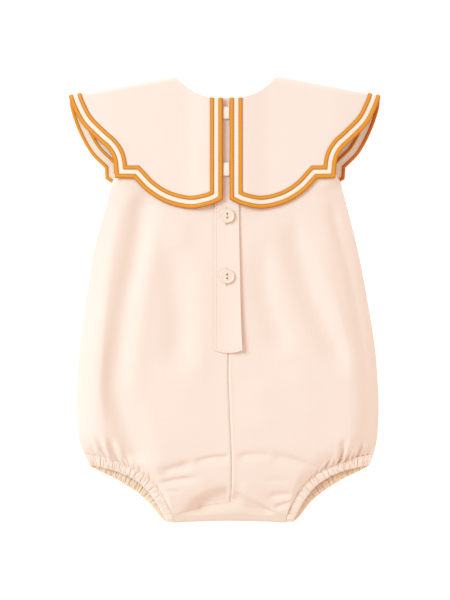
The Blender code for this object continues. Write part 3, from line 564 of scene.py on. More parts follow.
@dataclass(frozen=True)
class Puckers:
    """The fine gathers of a leg opening: one family starts at its seam and another at its free edge.

    A family's phase is the share times its count, pushed to and fro by a sine of itself. A groove is a
    bell round each whole number of the phase, whose depth and reach across the casing come from other
    sines of that number. Towards the crotch, where the cloth is less drawn up, they grow shallower.
    """

    at_seam: int = 57
    at_hem: int = 49
    push: float = 0.34
    rate: float = 2.39
    width: float = 0.2
    panel_spread: float = 1.6
    seam_start: float = 0.7
    hem_start: float = 2.1
    depth: Swing = Swing(0.66, 0.34, 1.93)
    reach: Swing = Swing(0.55, 0.4, 2.71)
    spread: Swing = Swing(1, 0.3, 3.7)
    end_ease: float = 0.35
    end_lead: float = 0.4
    smooth_from: float = 0.48
    smooth_over: float = 0.3
    smooth_by: float = 0.5

    def family(
        self, share: Array, count: int, start: float, from_edge: Array | float, width: float
    ) -> Array:
        """Depth from 0 to 1 of one family's grooves.

        Args:
            share: places along the leg opening.
            count: how many grooves.
            start: sets this family's own unevenness.
            from_edge: distance from the family's edge as a share of the casing's width.
            width: a groove's width as a share of the spacing.

        Returns:
            The depth.
        """
        phase = share * count + self.push * np.sin(self.rate * share * count + start)
        number = np.round(phase)
        near_crotch = ease((share - self.smooth_from) / self.smooth_over)
        deep = self.depth.at(number, start) * (1 - self.smooth_by * near_crotch)
        inside = (self.reach.at(number, 2 * start) - from_edge) / self.end_ease + self.end_lead
        return deep * ease(inside) * bell(phase - number, width * self.spread.at(number, start))

    def groove(self, share: Array, across: Array) -> Array:
        """Depth of all grooves on a casing.

        Args:
            share: place along it.
            across: from 0 at its free edge to 1 at its seam.

        Returns:
            The depth, at most 1.
        """
        seam = self.family(share, self.at_seam, self.seam_start, 1 - across, self.width)
        hem = self.family(share, self.at_hem, self.hem_start, across, self.width)
        return np.minimum(seam + hem, 1)

    def above_seam(self, share: Array) -> Array:
        """Depth of the grooves that run on from the seam into the panel."""
        return self.family(share, self.at_seam, self.seam_start, 0.0, self.panel_spread * self.width)


def uneven(x: Array, y: Array) -> Array:
    """Soft cloth's slight unevenness: four crossed sine waves of unlike length, about 1 high.

    Args:
        x, y: the places.

    Returns:
        The height, 0 on average.
    """
    return 0.25 * (
        np.sin(x / 7.9 + 0.6 * np.sin(y / 13.0)) + np.sin(y / 10.7 + 1.1 + 0.8 * np.sin(x / 17.0))
        + np.sin((x + y) / 6.3 + 2.0) * np.sin(y / 21.0) + np.sin((x - 0.7 * y) / 15.1 + 0.5)
    )


BACK_CREASES = tuple(Crease(*row) for row in (
    # the long trough inside the left edge, which broadens down to the hem, and the rolls beside it
    (((-69, 100), (-72, 75), (-78, 33), (-84, 5), (-89, -30), (-93.5, -70), (-91, -92), (-85, -113),
      (-79, -130), (-74, -147)), 4.2, 11, 12, 0.1),
    (((-80, -70), (-76, -98), (-69, -132), (-64, -148)), 1.3, 8, 13, 0.3),
    (((-91, 88), (-94, 70), (-102, 17), (-107, -41), (-109, -80), (-103, -112)), -1.1, 5, 12, 0.2),
    (((-56, 78), (-64, 42), (-72, 0), (-76, -50), (-73, -98)), -0.9, 8, 8),
    # the broad dip beside it
    (((-50, 52), (-43, 20), (-39, -16), (-40, -44), (-46, -72)), 2.6, 11, 14),
    (((-24, 52), (-19, 10), (-20, -40), (-26, -88)), -0.7, 10, 10),
    (((-40, 74), (-38, 56), (-40, 40)), -0.6, 9, 9),
    # the step inside the right edge
    (((95, 90), (99, 65), (111, 22), (119.5, -22), (125.5, -65), (127.5, -100), (121, -127)),
     2.6, 15, 6, 0.12),
    # the slanting trough over the right hip, the ridge beside it and the soft dent at its left
    (((56, 82), (63, 52), (69, 28), (76, 4), (87, -22), (98, -44), (105, -70)), 2.7, 7.5, 13, 0.2),
    (((78, 62), (88, 20), (98, -10), (110, -40)), -0.8, 7, 7),
    (((30, 56), (34, 28), (38, 0), (49, -35), (53, -52)), 2, 8, 14, 0.3),
    (((56, -52), (72, -80), (80, -108)), -0.5, 12, 12),
    (((22, -66), (34, -92), (40, -116)), -0.5, 13, 13),
    # the arched creases above the crotch
    (((-60, -149.5), (-47, -147), (-36, -143.6), (-24, -139.6)), 1.7, 3.8, 6.5, 0.3),
    (((-30, -141), (-14, -136.8), (-3, -135.5), (5, -135)), 1.15, 2, 5, 0.2),
    (((9, -135.4), (20, -133.6), (32, -133.2), (42, -134.2)), 1.05, 2.2, 4.8, 0.25),
    (((34, -134), (51, -136), (65, -139.6), (77, -144.6), (86, -149.4)), 1.4, 2.8, 7, 0.2),
    (((-65, -160.6), (-52, -157.8), (-43, -156), (-32, -154.4), (-18, -153.2)), 1.5, 2.1, 4.4, 0.3),
    (((-52, -151.6), (-38, -148.6), (-22, -147)), -0.35, 2.6, 2.6),
    (((-58, -166.4), (-46, -165.4), (-36, -166.8)), 0.5, 1.6, 2.4),
    # the cloth sinks to the crotch strip's seam and folds over beside the centre seam
    (((-44, -190), (-28, -183.4), (-12, -179.4), (6, -177.6), (22, -179.4), (36, -184), (48, -190)),
     1.9, 6, 12, 0.2),
    (((-34, -189), (-24, -182.8), (-12, -177.4), (0, -174.2), (9, -173.4), (19, -175)),
     2.9, 8, 8, 0.3),
    (((-27, -180.6), (-19, -174.4), (-11, -170), (-3, -167.4), (6, -166.4)), 2.1, 4.6, 5, 0.14),
    (((5, -166), (14, -170), (25, -176.4), (36, -182.6), (44, -186.6)), 1.1, 2, 7, 0.25),
    (((12, -160), (24, -164.5), (36, -172.5)), -0.5, 5, 4),
    (((35, -171.6), (44, -169.2), (53, -168.4), (63, -170.4)), 1.4, 2.8, 3.8, 0.34),
    (((42, -180.4), (51, -177.4), (60, -174.6)), 1.2, 1.6, 3, 0.25),
    (((33, -157), (45, -155.6), (57, -158.4)), 0.4, 3, 3),
))
BACK_GATHERS = {
    Side.LEFT: tuple(Gather(*row) for row in (
        (0.05, 9, 0.7, 1.5, 0.10), (0.105, 15, 0.9, 1.9, 0.05), (0.16, 11, 1, 1.6, -0.03),
        (0.205, 26, 2.1, 2.2, -0.04), (0.27, 10, 0.8, 1.5, 0.02), (0.315, 30, 2.4, 2.9, -0.02),
        (0.385, 12, 1.1, 1.7, 0.02), (0.43, 18, 1, 2, 0.08), (0.475, 8, 0.9, 1.3, 0.16),
        (0.53, 12, 0.8, 1.5, 0.30), (0.58, 7, 0.8, 1.2, 0.24), (0.635, 13, 0.9, 1.5, 0.42),
        (0.70, 6, 0.7, 1.3, 0.3), (0.755, 10, 0.6, 1.4, 0.35), (0.84, 6, 0.4, 1.3, 0.2),
    )),
    Side.RIGHT: tuple(Gather(*row) for row in (
        (0.05, 13, 0.9, 1.5, 0.02), (0.10, 9, 0.9, 1.4, 0.06), (0.15, 20, 2.1, 1.9, -0.02),
        (0.20, 10, 1.2, 1.5, 0.10), (0.255, 14, 1.9, 1.7, 0.02), (0.325, 26, 2.9, 2.1, 0.03),
        (0.385, 9, 0.9, 1.4, -0.04), (0.47, 12, 2.2, 1.6, -0.22), (0.515, 8, 0.7, 1.3, -0.3),
        (0.57, 12, 0.7, 1.6, -0.35), (0.64, 7, 0.6, 1.3, -0.3), (0.72, 9, 0.5, 1.4, -0.4),
        (0.82, 6, 0.4, 1.3, -0.3),
    )),
}
FRONT_CREASES = tuple(Crease(*row) for row in (
    (((-88, 40), (-92, -20), (-90, -80), (-82, -120)), 1.5, 8, 6),
    (((-58, 10), (-52, -40), (-58, -86)), 0.8, 11, 11),
    (((84, 44), (95, -8), (98, -70), (88, -118)), 1.4, 6, 8),
    (((30, 30), (52, -14), (66, -62)), 0.8, 11, 9),
    (((-56, -152), (-26, -143), (6, -140), (36, -143), (62, -153)), 1.1, 3, 4.4),
    (((-42, -164), (-14, -155), (14, -156)), 0.9, 2.6, 3.4),
    (((10, -166), (30, -163), (50, -168)), 0.9, 2.6, 3.2),
    (((-30, -177), (-8, -170), (16, -171)), 1, 2.8, 3.2),
))
FRONT_GATHERS = tuple(Gather(*row) for row in (
    (0.12, 14, 0.8, 2.2, 0.08), (0.20, 24, 1.3, 2.6, 0.10), (0.29, 16, 1.1, 2.2, 0.02),
    (0.38, 30, 1.4, 2.8, 0.06), (0.47, 15, 1, 2.2, -0.04), (0.57, 24, 1.2, 2.6, -0.06),
    (0.68, 14, 0.9, 2.2, -0.1), (0.80, 18, 0.9, 2.4, -0.1), (0.90, 12, 0.7, 2, -0.1),
))


@dataclass(frozen=True)
class Heights:
    """How high each layer of the garment lies, in millimetres."""

    outline: Outline = Outline()
    body_cloth: float = 1.2
    collar_cloth: float = 1.5
    seam_gap: float = 0.3
    lay_gap: float = 0.4
    crown_rows: Pairs = (
        (-200, 4.4), (-190, 7.2), (-178, 11.2), (-150, 17), (-110, 19.5), (-45, 18), (20, 15.5),
        (80, 12.8), (130, 11.6), (176, 10.8), (200, 10.4),
    )
    crown_fall: float = 0.16
    body_half: float = 130.0
    side_rise: Pairs = (   # height along the body, back edge, front edge
        (-140, 3.3, 3.3), (20, 3.3, 3.3), (64, 5.3, 5.3), (102, 5.5, 5.5), (135, 7.2, 5.1), (165, 7.2, 5.1),
        (190, 5.6, 5.6),
    )
    casing_rise: Pairs = ((0, 3.3), (0.3, 5.4), (0.65, 6), (1, 3.3))
    over_placket: float = 2.6
    placket_half: float = 14.0
    placket_ease: float = 24.0
    tip_drop: float = 2.6
    arm_line: float = 92.0
    arm_reach: float = 46.0
    unevenness: float = 0.22
    fold_gain: float = 1.5

    def crown(self, x: Array, y: Array) -> Array:
        """The back's height without folds: a profile along it, less a parabola across it."""
        return look_up(self.crown_rows, y)[0] * (1 - self.crown_fall * (x / self.body_half) ** 2)

    def creased(self, x: Array, y: Array) -> Array:
        """How far the folds lower the back.

        Args:
            x, y: the plan of the points.

        Returns:
            The drop, with the cloth's unevenness.
        """
        total = -self.unevenness * uneven(x, y)
        for crease in BACK_CREASES:
            total = total + self.fold_gain * crease.drop(x, y)
        return total

    def back(self, x: Array, y: Array) -> Array:
        """The back's height with its folds, away from its edges."""
        return self.crown(x, y) - self.creased(x, y)

    def flap(self, x: Array, y: Array) -> Array:
        """The back flaps' height away from the shoulder fold.

        It is the crown plus the flap's own thickness, plus an eased rise over the placket, less an
        eased fall past the arm.

        Args:
            x, y: the plan of the points.

        Returns:
            Their height.
        """
        aside = np.abs(x - self.outline.collar_centre)
        over = 1 - ease((aside - self.placket_half) / self.placket_ease)
        past_arm = ease((aside - self.arm_line) / self.arm_reach)
        raised = self.lay_gap + self.collar_cloth + self.over_placket * over - self.tip_drop * past_arm
        return self.crown(x, y) + raised

    def fold_radius(self, x: Array) -> Array:
        """Half of the collar's height at the shoulder fold."""
        return self.flap(x, self.outline.crest(x)) / 2

    def on_flap(self, x: Array, y: Array, lift: Array | float) -> Array:
        """Points on the back flap's upper face, moved out from it.

        Within a radius of the shoulder fold the height follows a quarter circle down to the fold, and
        the way out turns from straight up to level with it.

        Args:
            x, y: the plan of the points.
            lift: how far out they are moved.

        Returns:
            The points in x, y and z.
        """
        radius = self.fold_radius(x)
        crest = self.outline.crest(x)
        turn = quarter_turn(crest - y, radius)
        base = radius + self.seam_gap / 2
        z = base + (self.flap(x, y) - base) * np.sin(turn)
        return points_of(x, np.minimum(y, crest) + lift * np.cos(turn), z + lift * np.sin(turn))

    def on_front_collar(self, x: Array, y: Array, lift: Array | float) -> Array:
        """Points on the front collar's upper face, moved up from it; its under face lies on the surface.

        Args:
            x, y: the plan of the points.
            lift: how far they are moved.

        Returns:
            The points in x, y and z, curving up to the shoulder fold along a quarter circle.
        """
        radius = self.fold_radius(x)
        crest = self.outline.crest(x)
        turn = quarter_turn(crest - y, radius)
        up = self.collar_cloth + lift
        z = (radius - self.seam_gap / 2) * (1 - np.sin(turn)) + up * np.sin(turn)
        return points_of(x, np.minimum(y, crest) - up * np.cos(turn), z)


# ---- meshes ----
def put_mesh(name: str, points: Array, faces: list, corners: Array, material: Material) -> Piece:
    """A smooth mesh object from whole arrays.

    Args:
        name: the piece's name.
        points: its vertices in millimetres.
        faces: lists of vertex numbers, turned so that the faces point out.
        corners: the grain map, one pair in metres for each corner of each face.
        material: its finish.

    Returns:
        The object, at the origin.
    """
    mesh = bpy.data.meshes.new(name)
    mesh.from_pydata((np.asarray(points) * MM).tolist(), [], faces)
    layer = mesh.uv_layers.new(name=GRAIN)
    layer.data.foreach_set("uv", np.ascontiguousarray(corners, np.float32).ravel())
    mesh.materials.append(material)
    mesh.shade_smooth()
    mesh.validate()
    obj = bpy.data.objects.new(name, mesh)
    bpy.context.scene.collection.objects.link(obj)
    return obj


def grid_faces(at: Array) -> Array:
    """The quads of a grid of vertex numbers, rows by columns."""
    return np.stack([at[:-1, :-1], at[:-1, 1:], at[1:, 1:], at[1:, :-1]], axis=-1).reshape(-1, 4)


def shell(
    name: str, outer: Array, inner: Array, plan: Array, bulge: float, material: Material, turn: int = 1
) -> Piece:
    """A closed wall of cloth between two nets, with a soft rounded rim.

    The rim's three rows lie on a half ellipse from the outer edge to the inner one, which stands out
    by the bulge in the direction away from the cloth.

    Args:
        name: the piece's name.
        outer, inner: the nets, rows by columns.
        plan: the net's place on the flat cloth, in millimetres.
        bulge: how far the rim stands out.
        material: its finish.
        turn: -1 where the columns have to be read backwards for the outer faces to point out.

    Returns:
        The object.
    """
    outer, inner, plan = (net[:, ::turn] for net in (outer, inner, plan))
    rows, columns = outer.shape[:2]
    at = np.arange(rows * columns).reshape(rows, columns)
    rim = np.concatenate([at[0], at[1:, -1], at[-1, -2::-1], at[-2:0:-1, 0]])
    row, column = np.divmod(rim, columns)
    inside = np.clip(row, 1, rows - 2) * columns + np.clip(column, 1, columns - 2)
    flat_outer, flat_inner = outer.reshape(-1, 3), inner.reshape(-1, 3)
    away = unit(flat_outer[rim] - flat_outer[inside])
    middle, half = (flat_outer[rim] + flat_inner[rim]) / 2, (flat_outer[rim] - flat_inner[rim]) / 2
    angles = np.linspace(0, np.pi, RIM_ROWS + 2)[1:-1]
    rounds = [middle + half * np.cos(angle) + away * bulge * np.sin(angle) for angle in angles]
    points = np.concatenate([flat_outer, flat_inner, *rounds])
    size = rows * columns
    between = [2 * size + k * len(rim) + np.arange(len(rim)) for k in range(RIM_ROWS)]
    rings = np.stack([rim, *between, rim + size])
    ahead = np.roll(rings, -1, axis=1)
    sides = np.stack([rings[:-1], rings[1:], ahead[1:], ahead[:-1]], axis=-1).reshape(-1, 4)
    front = grid_faces(at)
    faces = np.concatenate([front, front[:, ::-1] + size, sides])
    flat = plan.reshape(-1, 2)
    grain = np.concatenate([flat, flat, *[flat[rim]] * RIM_ROWS]) * MM
    return put_mesh(name, points, faces.tolist(), grain[faces].reshape(-1, 2), material)


def loft(name: str, rings: Array, material: Material, closed: bool = False) -> Piece:
    """A body through rings of points, with flat ends unless it closes on itself.

    Args:
        name: the piece's name.
        rings: stations by points round, in millimetres, turned so that the faces point out.
        material: its finish.
        closed: whether the last station joins the first.

    Returns:
        The object, whose grain map runs along the stations and round the rings.
    """
    stations, around = rings.shape[:2]
    at = np.arange(stations * around).reshape(stations, around)
    run = np.append(0, np.cumsum(np.linalg.norm(np.diff(rings.mean(axis=1), axis=0), axis=1)))
    girth = np.append(0, np.cumsum(np.linalg.norm(np.roll(rings, -1, axis=1) - rings, axis=-1).mean(axis=0)))
    if closed:
        at = np.vstack([at, at[:1]])
        run = np.append(run, run[-1] + np.linalg.norm(rings[0] - rings[-1], axis=-1).mean())
    wrapped = np.hstack([at, at[:, :1]])
    faces = grid_faces(wrapped)[:, ::-1]
    map_ = points_of(run[:, None], girth[None]).reshape(-1, 2) * MM
    numbers = grid_faces(np.arange(len(run) * len(girth)).reshape(len(run), len(girth)))[:, ::-1]
    corners = map_[numbers].reshape(-1, 2)
    all_faces = faces.tolist()
    if not closed:
        all_faces += [at[0].tolist(), at[-1, ::-1].tolist()]
        ends = [np.column_stack([np.full(around, run[k]), girth[:-1]]) * MM for k in (0, -1)]
        corners = np.vstack([corners, ends[0], ends[1][::-1]])
    return put_mesh(name, rings.reshape(-1, 3), all_faces, corners, material)


# ---- shader maths ----
def operator(operation: str, swapped: bool = False) -> Callable[[Sock, Sock | float], Sock]:
    """A method that puts a Math node over two values.

    Args:
        operation: the node's operation.
        swapped: whether the other value comes first.

    Returns:
        The method.
    """
    def method(value: Sock, other: Sock | float) -> Sock:
        """The outcome of the node."""
        return value.maths(operation, *((other, value) if swapped else (value, other)))

    return method


class Sock:
    """A shader value whose arithmetic adds Math nodes to its tree."""

    def __init__(self, shader: Shader, socket: bpy.types.NodeSocket) -> None:
        """Wraps one output socket."""
        self.shader = shader
        self.socket = socket

    def maths(self, operation: str, *values: Sock | float) -> Sock:
        """A Math node over these values."""
        node = self.shader.node("ShaderNodeMath", {"operation": operation}, dict(enumerate(values)))
        return self.shader.out(node)

    __add__ = __radd__ = operator("ADD")
    __sub__, __rsub__ = operator("SUBTRACT"), operator("SUBTRACT", swapped=True)
    __mul__ = __rmul__ = operator("MULTIPLY")
    __pow__ = operator("POWER")
    __gt__ = operator("GREATER_THAN")

    def size(self) -> Sock:
        """The value without its sign."""
        return self.maths("ABSOLUTE", self)

    def sine(self) -> Sock:
        """The value's sine."""
        return self.maths("SINE", self)

    def within(self) -> Sock:
        """The value held between 0 and 1."""
        return self.maths("MINIMUM", self.maths("MAXIMUM", self, 0.0), 1.0)


class Shader:
    """A material's node tree and the few ways in which nodes are added to it."""

    def __init__(self, name: str, colour: Colour) -> None:
        """Starts a material.

        Args:
            name: the material's name.
            colour: its viewport colour.
        """
        self.material = bpy.data.materials.new(name)
        self.material.use_nodes = True
        self.material.diffuse_color = (*colour, 1)
        self.tree = self.material.node_tree
        self.surface = self.tree.nodes["Principled BSDF"]

    def node(self, kind: str, settings: dict | None = None, inputs: dict | None = None) -> bpy.types.Node:
        """Adds a node.

        Args:
            kind: its type.
            settings: its own settings, set first.
            inputs: values or Socks by the name or number of the socket.

        Returns:
            The node.
        """
        made = self.tree.nodes.new(kind)
        for name, value in (settings or {}).items():
            setattr(made, name, value)
        self.feed(made, inputs or {})
        return made

    def feed(self, node: bpy.types.Node, inputs: dict) -> None:
        """Links or sets a node's inputs.

        Args:
            node: the node.
            inputs: Socks, which are linked, or values, by name or number.
        """
        for name, value in inputs.items():
            if isinstance(value, Sock):
                self.tree.links.new(value.socket, node.inputs[name])
            else:
                node.inputs[name].default_value = value

    def out(self, node: bpy.types.Node, name: str | int = 0) -> Sock:
        """An output of a node."""
        return Sock(self, node.outputs[name])

    def grain(self) -> tuple[Sock, Sock]:
        """The place along the cloth's own two directions.

        Returns:
            Both places in millimetres, from the piece's grain map.
        """
        flat = self.node("ShaderNodeUVMap", {"uv_map": GRAIN})
        parts = self.node("ShaderNodeSeparateXYZ", None, {0: self.out(flat)})
        return self.out(parts, 0) * (1 / MM), self.out(parts, 1) * (1 / MM)

    def noise(self, scale: float, detail: float, stretch: Colour = (1, 1, 1)) -> Sock:
        """Noise from 0 to 1 in Object coordinates.

        Args:
            scale: features per metre.
            detail: octaves.
            stretch: scale of the three directions.

        Returns:
            The noise.
        """
        place = self.node("ShaderNodeTexCoord")
        spread = self.node("ShaderNodeMapping", None, {"Vector": self.out(place, "Object"), "Scale": stretch})
        inputs = {"Vector": self.out(spread), "Scale": scale, "Detail": detail}
        return self.out(self.node("ShaderNodeTexNoise", None, inputs))

    def sides(self) -> Sock:
        """The piece's "sides" attribute of painted shade, which is 1 in a tuck or where an edge turns under.
        """
        return self.out(self.node("ShaderNodeAttribute", {"attribute_name": SHADE_ATTRIBUTE}), "Fac")

    def mix(self, share: Sock | float, first: Sock | Colour, second: Sock | Colour) -> Sock:
        """Blends two colours.

        Args:
            share: 0 for the first, 1 for the second.
            first, second: the colours.

        Returns:
            The blend.
        """
        node = self.node("ShaderNodeMix", {"data_type": "RGBA"})
        colours = [value if isinstance(value, Sock) else (*value, 1) for value in (first, second)]
        self.feed(node, {0: share, 6: colours[0], 7: colours[1]})
        return self.out(node, 2)

    def bump(self, height: Sock, distance: float, strength: float = 1.0) -> Sock:
        """A bent normal from a height of 0 to 1 over a distance in millimetres."""
        inputs = {"Strength": strength, "Distance": distance * MM, "Height": height}
        return self.out(self.node("ShaderNodeBump", None, inputs))

    def finish(self, **inputs: Sock | float | tuple) -> Material:
        """Sets the surface's sockets, underscores standing for spaces, and gives the material."""
        self.feed(self.surface, {name.replace("_", " "): value for name, value in inputs.items()})
        return self.material


def shade(colour: Colour, by: float) -> Colour:
    """A colour made darker or lighter."""
    return tuple(min(1.0, part * by) for part in colour)


# ---- finishes ----
@dataclass(frozen=True)
class Woven:
    """Plain-woven cotton: threads over and under each other, slubs along them and a faint mottling."""

    name: str
    colour: Colour
    deep: Colour
    pitch: float = 0.36
    relief: float = 0.05
    roughness: float = 0.86
    sheen: float = 0.12
    # painted shade: the colour that the tucks are darkened towards, and by how much
    tuck: Colour = (0.74, 0.50, 0.32)
    tuck_shade_share: float = 0.0

    def material(self) -> Material:
        """Makes the material, with painted shade in the tucks that the "sides" attribute marks.

        A thread's height is the root of a sine's size across it, and the product of both sines gives
        by its sign which of the two threads lies on top.

        Returns:
            The material.
        """
        s = Shader(self.name, self.colour)
        across, up = s.grain()
        warp, weft = (across * (math.pi / self.pitch)).sine(), (up * (math.pi / self.pitch)).sine()
        over = (warp * weft) > 0.0
        warp, weft = warp.size(), weft.size()
        upper, lower = (warp ** 0.6) * (weft * 0.35 + 0.65), (weft ** 0.6) * (warp * 0.35 + 0.65)
        threads = over * upper + (1 - over) * lower
        slubs = s.noise(420, 2, (1, 0.06, 1)) * 0.5 + s.noise(420, 2, (0.06, 1, 1)) * 0.5
        mottling = s.noise(26, 3)
        tone = (threads * 0.22 + slubs * 0.5 + mottling * 0.4).within()
        height = threads * 0.7 + slubs * 0.6
        cloth = s.mix(tone, self.deep, self.colour)
        # painted shade: the cloth blends towards the tuck colour where the shade attribute marks a tuck
        if self.tuck_shade_share > 0:
            cloth = s.mix(s.sides() * self.tuck_shade_share, cloth, self.tuck)
        return s.finish(
            Base_Color=cloth,
            Roughness=self.roughness + (slubs - 0.5) * 0.08,
            Sheen_Weight=self.sheen,
            Sheen_Roughness=0.5,
            Specular_IOR_Level=0.25,
            Normal=s.bump(height, self.relief, 0.7),
        )


@dataclass(frozen=True)
class Ribbed:
    """Narrow trim with fine ribs across it or slanting over it, with painted shade where its edges turn
    under.
    """

    name: str
    colour: Colour
    # edge: the colour of the painted shade where the strip turns under
    edge: Colour
    rib: float = 0.5
    slant: float = 0.8
    relief: float = 0.06
    roughness: float = 0.55
    sheen: float = 0.06
    edge_shade_depth: float = 1.0

    def material(self) -> Material:
        """Makes the material: ribs are a sine of the place along the strip plus its slant across.

        Returns:
            The material.
        """
        s = Shader(self.name, self.colour)
        run, across = s.grain()
        ribs = ((run + across * self.slant) * (2 * math.pi / self.rib)).sine() * 0.5 + 0.5
        fibres = s.noise(1500, 2)
        mottling = s.noise(60, 3)
        tone = (0.55 + ribs * 0.2 + (fibres - 0.5) * 0.35 + (mottling - 0.5) * 0.5).within()
        body = s.mix(tone, shade(self.colour, 0.92), self.colour)
        return s.finish(
            # painted shade: the colour blends towards the edge colour where the shade attribute marks edges
            # and the right cap
            Base_Color=s.mix((s.sides() * self.edge_shade_depth).within(), body, self.edge),
            Roughness=self.roughness + (fibres - 0.5) * 0.12,
            Sheen_Weight=self.sheen,
            Specular_IOR_Level=0.35,
            Normal=s.bump(ribs * 0.7 + fibres * 0.4, self.relief, 0.6),
        )


@dataclass(frozen=True)
class Moulded:
    """Cream shirt-button plastic with a faint cloudy swirl and a polished skin."""

    name: str
    colour: Colour
    cloud: Colour
    roughness: float = 0.3

    def material(self) -> Material:
        """Makes the material: two scales of noise cloud the colour and break up the gloss.

        Returns:
            The material.
        """
        s = Shader(self.name, self.colour)
        swirl = s.noise(160, 4, (1, 2.5, 1))
        fine = s.noise(1400, 2)
        return s.finish(
            Base_Color=s.mix((swirl * 0.8 + fine * 0.1).within(), self.cloud, self.colour),
            Roughness=self.roughness + (fine - 0.5) * 0.1,
            Coat_Weight=0.3,
            Coat_Roughness=0.15,
            Normal=s.bump(fine, 0.02, 0.4),
        )


@dataclass(frozen=True)
class Twisted:
    """Sewing thread, whose plies wind round it."""

    name: str
    colour: Colour
    deep: Colour
    ply: float = 0.35

    def material(self) -> Material:
        """Makes the material: plies are a sine of the place along plus three times the place round.

        Returns:
            The material.
        """
        s = Shader(self.name, self.colour)
        run, girth = s.grain()
        plies = ((run + girth * 3.0) * (2 * math.pi / self.ply)).sine() * 0.5 + 0.5
        fuzz = s.noise(2500, 2)
        return s.finish(
            Base_Color=s.mix((plies * 0.6 + fuzz * 0.4).within(), self.deep, self.colour),
            Roughness=0.6 + (fuzz - 0.5) * 0.2,
            Sheen_Weight=0.15,
            Normal=s.bump(plies, 0.04, 0.8),
        )


@dataclass(frozen=True)
class Paper:
    """The seamless white paper that the garment lies on."""

    name: str = "white_paper"
    colour: Colour = (0.96, 0.96, 0.96)
    glow: float = 0.55

    def material(self) -> Material:
        """Makes the material: matt, with a faint tooth, and lit a little from behind as a light table is.

        Returns:
            The material.
        """
        s = Shader(self.name, self.colour)
        tooth = s.noise(900, 2)
        return s.finish(
            Base_Color=s.mix(tooth, shade(self.colour, 0.995), self.colour),
            Roughness=0.95,
            Specular_IOR_Level=0.0,
            Emission_Color=(1, 1, 1, 1),
            Emission_Strength=self.glow,
        )


def made_of(finish: Woven | Ribbed | Moulded | Twisted) -> Material:
    """A dataclass field that is filled with a finish's material."""
    return field(default_factory=finish.material)


@dataclass(frozen=True)
class Palette:
    """The finishes, made once and shared."""

    body: Material = made_of(Woven("peach_body_cloth", (0.95, 0.80, 0.69), (0.90, 0.735, 0.62)))
    collar: Material = made_of(Woven("peach_collar_cloth", (0.95, 0.815, 0.71), (0.905, 0.76, 0.655), 0.34))
    # painted shade: a darker copy of the body cloth where the crotch curves down
    gusset: Material = made_of(Woven("peach_gusset_cloth", (0.90, 0.74, 0.62), (0.85, 0.68, 0.555)))
    # painted light: a lighter copy of the body cloth for the back leg casings, with painted shade in their
    # tucks
    gathered: Material = made_of(
        Woven("peach_gathered_cloth", (0.97, 0.83, 0.715), (0.94, 0.785, 0.66), tuck_shade_share=0.4)
    )
    # painted shade: a darker, warmer copy of the body cloth for the front leg casings that show below the
    # back, with painted shade in their tucks
    inside: Material = made_of(
        Woven("peach_inside_cloth", (0.95, 0.78, 0.60), (0.90, 0.70, 0.51), tuck_shade_share=0.6)
    )
    # the trims' second colours are painted shade at turned edges; the inside piping is a copy with painted
    # shade for the front collar's strips in the right cap
    piping: Material = made_of(Ribbed("orange_piping", (0.90, 0.34, 0.012), (0.40, 0.13, 0.008)))
    inside_piping_painted_shade: Material = made_of(Ribbed("inside_piping_painted_shade", (0.92, 0.36, 0.012), (0.58, 0.15, 0.01)))
    tape: Material = made_of(
        Ribbed("ivory_tape", (0.99, 0.885, 0.755), (0.88, 0.68, 0.46), 0.45, 0.0, 0.05, 0.6, 0.12, 0.5)
    )
    button: Material = made_of(Moulded("cream_button", (0.95, 0.82, 0.68), (0.88, 0.72, 0.57)))
    # dark brown thread for the knots in the button holes; its darkness also stands for the holes' shade, as
    # painted shade
    thread: Material = made_of(Twisted("brown_thread_and_hole_shade", (0.50, 0.31, 0.17), (0.30, 0.17, 0.09)))
    pale_thread: Material = made_of(Twisted("cream_thread", (0.93, 0.79, 0.64), (0.80, 0.64, 0.49)))
    peach_thread: Material = made_of(Twisted("peach_thread", (0.88, 0.70, 0.55), (0.62, 0.44, 0.30)))


def dress(obj: Piece, slot: Slot, *nodes: str) -> Piece:
    """Lets a piece ride on the garment and stand for its nodes.

    Args:
        obj: the piece.
        slot: its material slot, not used.
        nodes: the frame's nodes that it replaces.

    Returns:
        The piece.
    """
    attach(obj, "root")
    if nodes:
        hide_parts(*nodes)
    log.info("%s: %d faces", obj.name, len(obj.data.polygons))
    return obj


def mark_sides(obj: Piece, values: Array) -> None:
    """Stores painted shade from 0 to 1: how deep in a tuck, or how near its strip's edges, each vertex lies.
    """
    layer = obj.data.attributes.new(SHADE_ATTRIBUTE, "FLOAT", "POINT")
    layer.data.foreach_set("value", np.ascontiguousarray(values, np.float32).ravel())


@dataclass(frozen=True)
class Cut:
    """The flat size that a cloth piece was cut to, in millimetres, and its area in square millimetres."""

    width: float
    length: float
    area: float
    held: str = "laid"

    def declare(self, obj: Piece, rests_on: Sequence[str], with_pieces: Sequence = ()) -> None:
        """Would declare a piece as a sheet of this cut, but does nothing.

        Args:
            obj: the piece, not used.
            rests_on: the nodes that it lies on, not used.
            with_pieces: the trims sewn on it, not used.
        """


